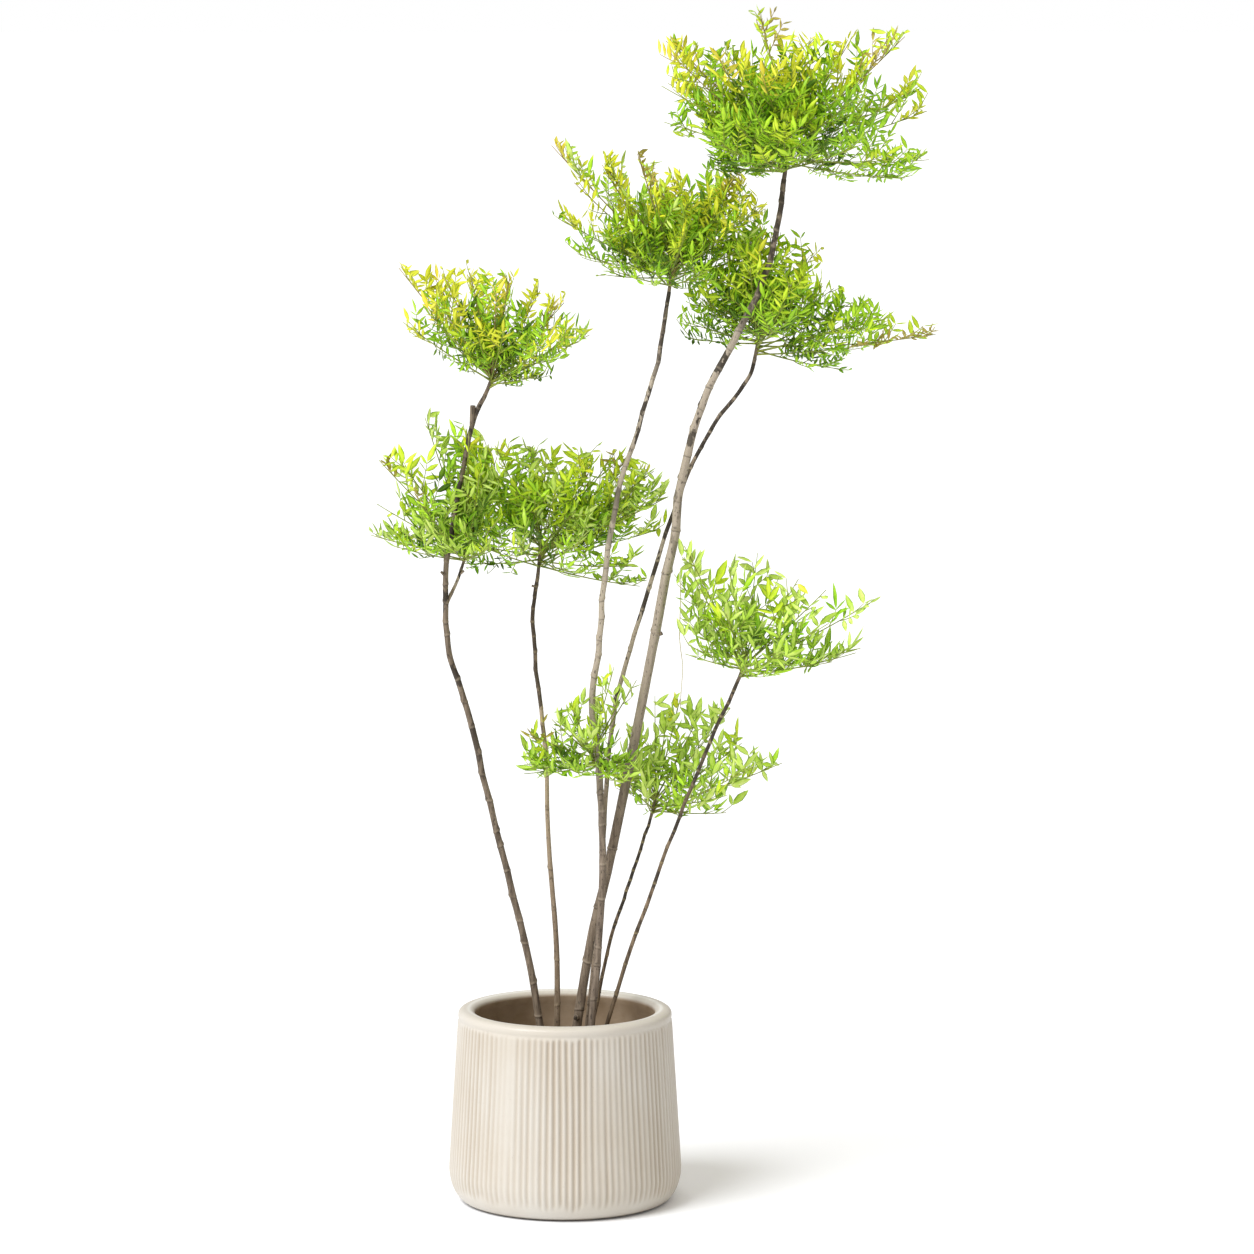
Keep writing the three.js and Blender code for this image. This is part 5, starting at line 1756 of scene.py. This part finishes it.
@dataclass
class Foliage:
    """All crowns, which share out the air between them and keep clear of every limb."""

    crowns: dict[str, Crown]
    limbs: dict[str, Cane]

    def __post_init__(self) -> None:
        """Samples the limbs and works out the crowns' spaces."""
        lines = [(smooth_line(limb.route), limb) for limb in self.limbs.values()]
        share = np.linspace(0, 1, 161)
        self.wood = np.concatenate([line.at(share) for line, _ in lines])
        self.thick = np.concatenate([limb.radius_at(share) for _, limb in lines])
        self.spaces = {name: crown.space() for name, crown in self.crowns.items()}

    def is_own(self, name: str, points: Array) -> Array:
        """Whether points are nearer to a crown's space than to any other's, or past the border by little."""
        own = self.spaces[name].level(points)
        others = [space.level(points) for key, space in self.spaces.items() if key != name]
        return own - SHARED_AIR < np.min(others, axis=0)

    @staticmethod
    def in_box(points: Array) -> Array:
        """Whether points lie in the solids' box, made wider by the margin that leaves may stand proud."""
        low, high = np.array(SOLIDS_BOX) / MM
        return np.all((points > low - LEAF_MARGIN) & (points < high + LEAF_MARGIN), axis=-1)

    def room(self, points: Array) -> Array:
        """The room between points and the nearest limb's bark, for points near a crown."""
        low, high = points.reshape(-1, 3).min(axis=0) - 20, points.reshape(-1, 3).max(axis=0) + 20
        near = np.all((self.wood > low) & (self.wood < high), axis=1)
        least = np.full(points.shape[:-1], 1e3)
        for place, radius in zip(self.wood[near], self.thick[near]):
            least = np.minimum(least, np.linalg.norm(points - place, axis=-1) - radius)
        return least

    def fits(self, name: str, rib: Rib) -> bool:
        """Whether a rib's outer part keeps to its crown's own space, clear of the limbs and in the box."""
        clear = self.room(rib.at(np.linspace(0.4, 0.88, 9))).min() > LIMB_GAP + 2
        return bool(self.is_own(name, rib.at(0.88)) and clear and self.in_box(rib.tip))

    def build(self, name: str, leaves: list[Material], stalks: list[Material]) -> None:
        """Builds one crown: a piece of leaves and a piece of twigs, which together stand for its solid.

        Args:
            name: The solid's name.
            leaves: The leaf materials, by tone.
            stalks: The stalk materials.
        """
        crown = self.crowns[name]
        ribs = [rib for rib in crown.ribs() if self.fits(name, rib)]
        sprays = crown.sprays(ribs)
        leaflets = crown.leaflets(sprays)
        shares = np.array([0.1, 0.5, 1.0])[:, None]
        spots = leaflets.foot[:, None] + leaflets.along[:, None] * (leaflets.long[:, None, None] * shares)
        keep = crown.in_outline(spots[:, 2] - crown.start()[0]) & self.is_own(name, spots[:, 1])
        keep &= self.in_box(spots[:, 2])
        half_widths = leaflets.wide[:, None] * np.array([0.2, 0.5, 0.05])
        keep &= (self.room(spots) > LIMB_GAP + half_widths).all(axis=1)
        leaflets = leaflets.kept(keep)
        short = name.removeprefix("foliage_")
        leaflets.surface().piece(f"leaves_{short}", leaves, "foliage", [name])
        self.twigs(crown, ribs, sprays, leaflets).piece(f"twigs_{short}", stalks, "foliage", [name])
        counts = len(ribs), len(sprays.long), len(leaflets.long)
        log.info("%s: %d fronds, %d sprays, %d leaflets", name, *counts)

    @staticmethod
    def add_tubes(made: Surface, paths: Array, radii: Array, sides: int, young: Array) -> None:
        """Adds tubes of the same radii to a mesh, bronze where they are young and green elsewhere."""
        kind = np.where(young, int(Stalk.BRONZE), int(Stalk.GREEN))
        points, faces = tubes(paths, radii[None, :, None], sides)
        made.add(points * MM, faces, [np.repeat(kind, (paths.shape[1] - 1) * sides), kind, kind])

    def twigs(self, crown: Crown, ribs: list[Rib], sprays: Sprays, leaflets: Leaflets) -> Surface:
        """The woody shoot, the fronds' ribs and the sprays' stalks as closed tapering tubes.

        A stalk ends at its last leaflet and a rib at its last stalk, so none of them sticks out bare.

        Args:
            crown: The crown.
            ribs: Its fronds' ribs.
            sprays: Its sprays.
            leaflets: The leaflets that were kept.

        Returns:
            The twigs' mesh.
        """
        made = Surface()
        reach = np.zeros(len(sprays.long))
        np.maximum.at(reach, leaflets.spray, leaflets.share)
        ends = np.zeros(len(ribs))
        leafy = reach > 0
        np.maximum.at(ends, sprays.rib[leafy], sprays.share[leafy])
        ribs = [rib for rib, end in zip(ribs, ends) if end > 0]
        sprays, reach, ends = sprays.kept(leafy), reach[leafy], ends[ends > 0]
        (root, along), share, sides = crown.start(), np.linspace(0, 1, 14), 12
        foot = 2.6 if crown.at is not None else CANES[crown.limb].radii[2]
        path = np.concatenate([[root - along * 3.0], crown.shoot_line().at(share)])
        radius = np.concatenate([[foot * 0.9], np.interp(share, [0, 0.5, 1], [foot * 0.95, 2.8, 2.0])])
        rows = np.arange(len(path))[:, None] * 1.0
        bumps = radius[:, None] + 0.25 * ripples(ring_turns(sides), rows, crown.seed, (2, 5), 0.6)
        points, faces = tubes(path[None], bumps[None], sides)
        made.add(points * MM, faces, int(Stalk.WOOD))
        share = np.linspace(0, 0.97, 13)
        paths = np.stack([rib.at(share * end) for rib, end in zip(ribs, ends)])
        high = np.array([rib.tip[2] - root[2] > 0.75 * crown.top for rib in ribs])
        radii = np.interp(share, [0, 0.08, 0.4, 1], [2.1, 1.35, 1.05, 0.55])
        self.add_tubes(made, paths, radii, 6, high & (crown.look.young > 0.2))
        share = np.linspace(0, 1, 6)
        paths, _ = crown.stalk(sprays, share[None] * reach[:, None])
        radii = np.interp(share, [0, 1], [0.8, 0.45])
        self.add_tubes(made, paths, radii, 4, np.isin(sprays.tone, (Tone.YELLOW, Tone.BRONZE)))
        return made


@dataclass(frozen=True)
class HangingStalk:
    """A fine dry leaf stalk that hangs from the right crown down to the low one."""

    route: tuple[tuple[float, ...], ...] = ((176, -62, 985), (177, -55, 940), (176, -30, 880), (181, 0, 830),
                                            (179, 20, 790), (178, 40, 762))
    radius: float = 0.9

    def build(self) -> Object:
        """Builds the stalk: a tube that thins out by 0.3 and swells by 0.35 . a bell at its joint."""
        share = np.linspace(0, 1, 80)
        swell = self.radius * (1 - 0.3 * share) + 0.35 * bell(share, 0.42, 0.015)
        points, faces = tubes(smooth_line(self.route).at(share)[None], swell[None, :, None], 8)
        made = Surface()
        made.add(points * MM, faces)
        return made.piece("hanging_stalk", [STRAW.make()], "foliage", [])


# Studio


@dataclass(frozen=True)
class Studio:
    """The photo's view: a long lens from the front, a pale floor and soft light from the left.

    lift is how much lighter the floor looks than it is lit, away from the pot. The radii after it, in metres,
    are where the lift fades out, a painted shade round the pot's foot.
    """

    camera_place: Triple = (0.0958, -8.0, 1.871)
    camera_pitch: float = 6.975
    lens: float = 151.09
    sensor: float = 36.0
    floor_radius: float = 400.0
    floor_drop: float = 0.0004
    floor_colour: Colour = (0.92, 0.93, 0.945)
    key_from: Triple = (-0.53, -0.46, 0.71)
    key_spread: float = 38.0
    key_power: float = 2.9
    key_colour: Colour = (0.965, 0.985, 1.02)
    sky: float = 0.52
    sky_colour: Colour = (1.0, 0.945, 0.865)
    lift: float = 0.185
    painted_shade_fade: Pair = (0.145, 0.2)

    @staticmethod
    def look_apart(steps: Steps, lighting: Node, seen: Node, end: str) -> None:
        """Ends a tree with what lights the scene, and with something else where the camera looks at it."""
        path = steps.add("ShaderNodeLightPath", {})
        both = steps.add("ShaderNodeMixShader", {
            0: path.outputs["Is Camera Ray"], 1: lighting.outputs[0], 2: seen.outputs[0]})
        steps.tree.links.new(both.outputs[0], steps.add(end, {}).inputs["Surface"])

    def camera(self) -> None:
        """Sets up the camera."""
        data = bpy.data.cameras.new("camera")
        data.lens = self.lens
        data.sensor_width = self.sensor
        data.clip_end = 200.0
        made = bpy.data.objects.new("camera", data)
        made.location = self.camera_place
        made.rotation_euler = (math.radians(90 - self.camera_pitch), 0, 0)
        bpy.context.scene.collection.objects.link(made)
        bpy.context.scene.camera = made

    def floor(self) -> None:
        """Lays the floor: a pale disc just below the pot, a little lighter to look at than it is lit.

        The lift fades out towards the pot, which leaves a painted shade ring round its foot, so that the
        shade where they touch stays dark.
        """
        turn = ring_turns(96)
        ring = np.stack([np.cos(turn), np.sin(turn), np.zeros(len(turn))], axis=-1) * self.floor_radius
        corners = [tuple(point) for point in ring - np.array([0, 0, self.floor_drop])]
        mesh = bpy.data.meshes.new("floor")
        mesh.from_pydata(corners, [], [tuple(range(len(turn)))])
        made, steps = new_material("floor")
        place = steps.add("ShaderNodeTexCoord", {}).outputs["Object"]
        away = steps.add("ShaderNodeVectorMath", {0: place}, operation="LENGTH").outputs["Value"]
        # Painted shade: no lift near the pot's foot.
        lift_past_painted_shade = steps.mix(steps.between(away, *self.painted_shade_fade), (0.0, 0.0, 0.0), (1.0, 1.0, 1.0))
        sockets = {"Base Color": (*self.floor_colour, 1.0), "Roughness": 0.9, "Specular IOR Level": 0.1,
                   "Emission Color": lift_past_painted_shade}
        lighting, seen = (steps.add("ShaderNodeBsdfPrincipled", {**sockets, "Emission Strength": strength})
                          for strength in (0.0, self.lift))
        self.look_apart(steps, lighting, seen, "ShaderNodeOutputMaterial")
        mesh.materials.append(made)
        disc = bpy.data.objects.new("floor", mesh)
        bpy.context.scene.collection.objects.link(disc)

    def light(self) -> None:
        """Sets the soft key light, and a white surround that lights more weakly than it shows."""
        data = bpy.data.lights.new("key", "SUN")
        data.angle = math.radians(self.key_spread)
        data.energy = self.key_power
        data.color = self.key_colour
        key = bpy.data.objects.new("key", data)
        back, left, up = self.key_from
        key.location = np.array(self.key_from) * 4
        key.rotation_euler = (math.atan2(math.hypot(back, left), up), 0, math.atan2(back, -left))
        bpy.context.scene.collection.objects.link(key)
        world = bpy.data.worlds.new("surround")
        world.use_nodes = True
        world.node_tree.nodes.clear()
        steps = Steps(world.node_tree)
        seen = steps.add("ShaderNodeBackground", {"Color": (1, 1, 1, 1), "Strength": 1.0})
        lit = steps.add("ShaderNodeBackground", {"Color": (*self.sky_colour, 1.0), "Strength": self.sky})
        self.look_apart(steps, lit, seen, "ShaderNodeOutputWorld")
        bpy.context.scene.world = world
        bpy.context.scene.view_settings.view_transform = "Standard"


def main() -> None:
    """Builds the pot, the soil, the canes, the crowns and the studio."""
    logging.basicConfig(level=logging.INFO, format="%(message)s")
    studio = Studio()
    studio.camera()
    studio.floor()
    studio.light()
    make_patches_group()
    make_grain_group()
    pot = Pot()
    pot.build()
    soil = SoilBed(pot)
    soil.bed()
    soil.strewn()
    barks = {name: finish.make() for name, finish in BARKS.items()}
    for node, cane in CANES.items():
        cane.build(node, barks)
    leaves = [LEAVES[tone].make() for tone in Tone]
    stalks = [STALKS[stalk].make() for stalk in Stalk]
    foliage = Foliage(CROWNS, CANES)
    for name in CROWNS:
        foliage.build(name, leaves, stalks)
    HangingStalk().build()
    bpy.context.view_layer.update()


if __name__ == "__main__":
    main()
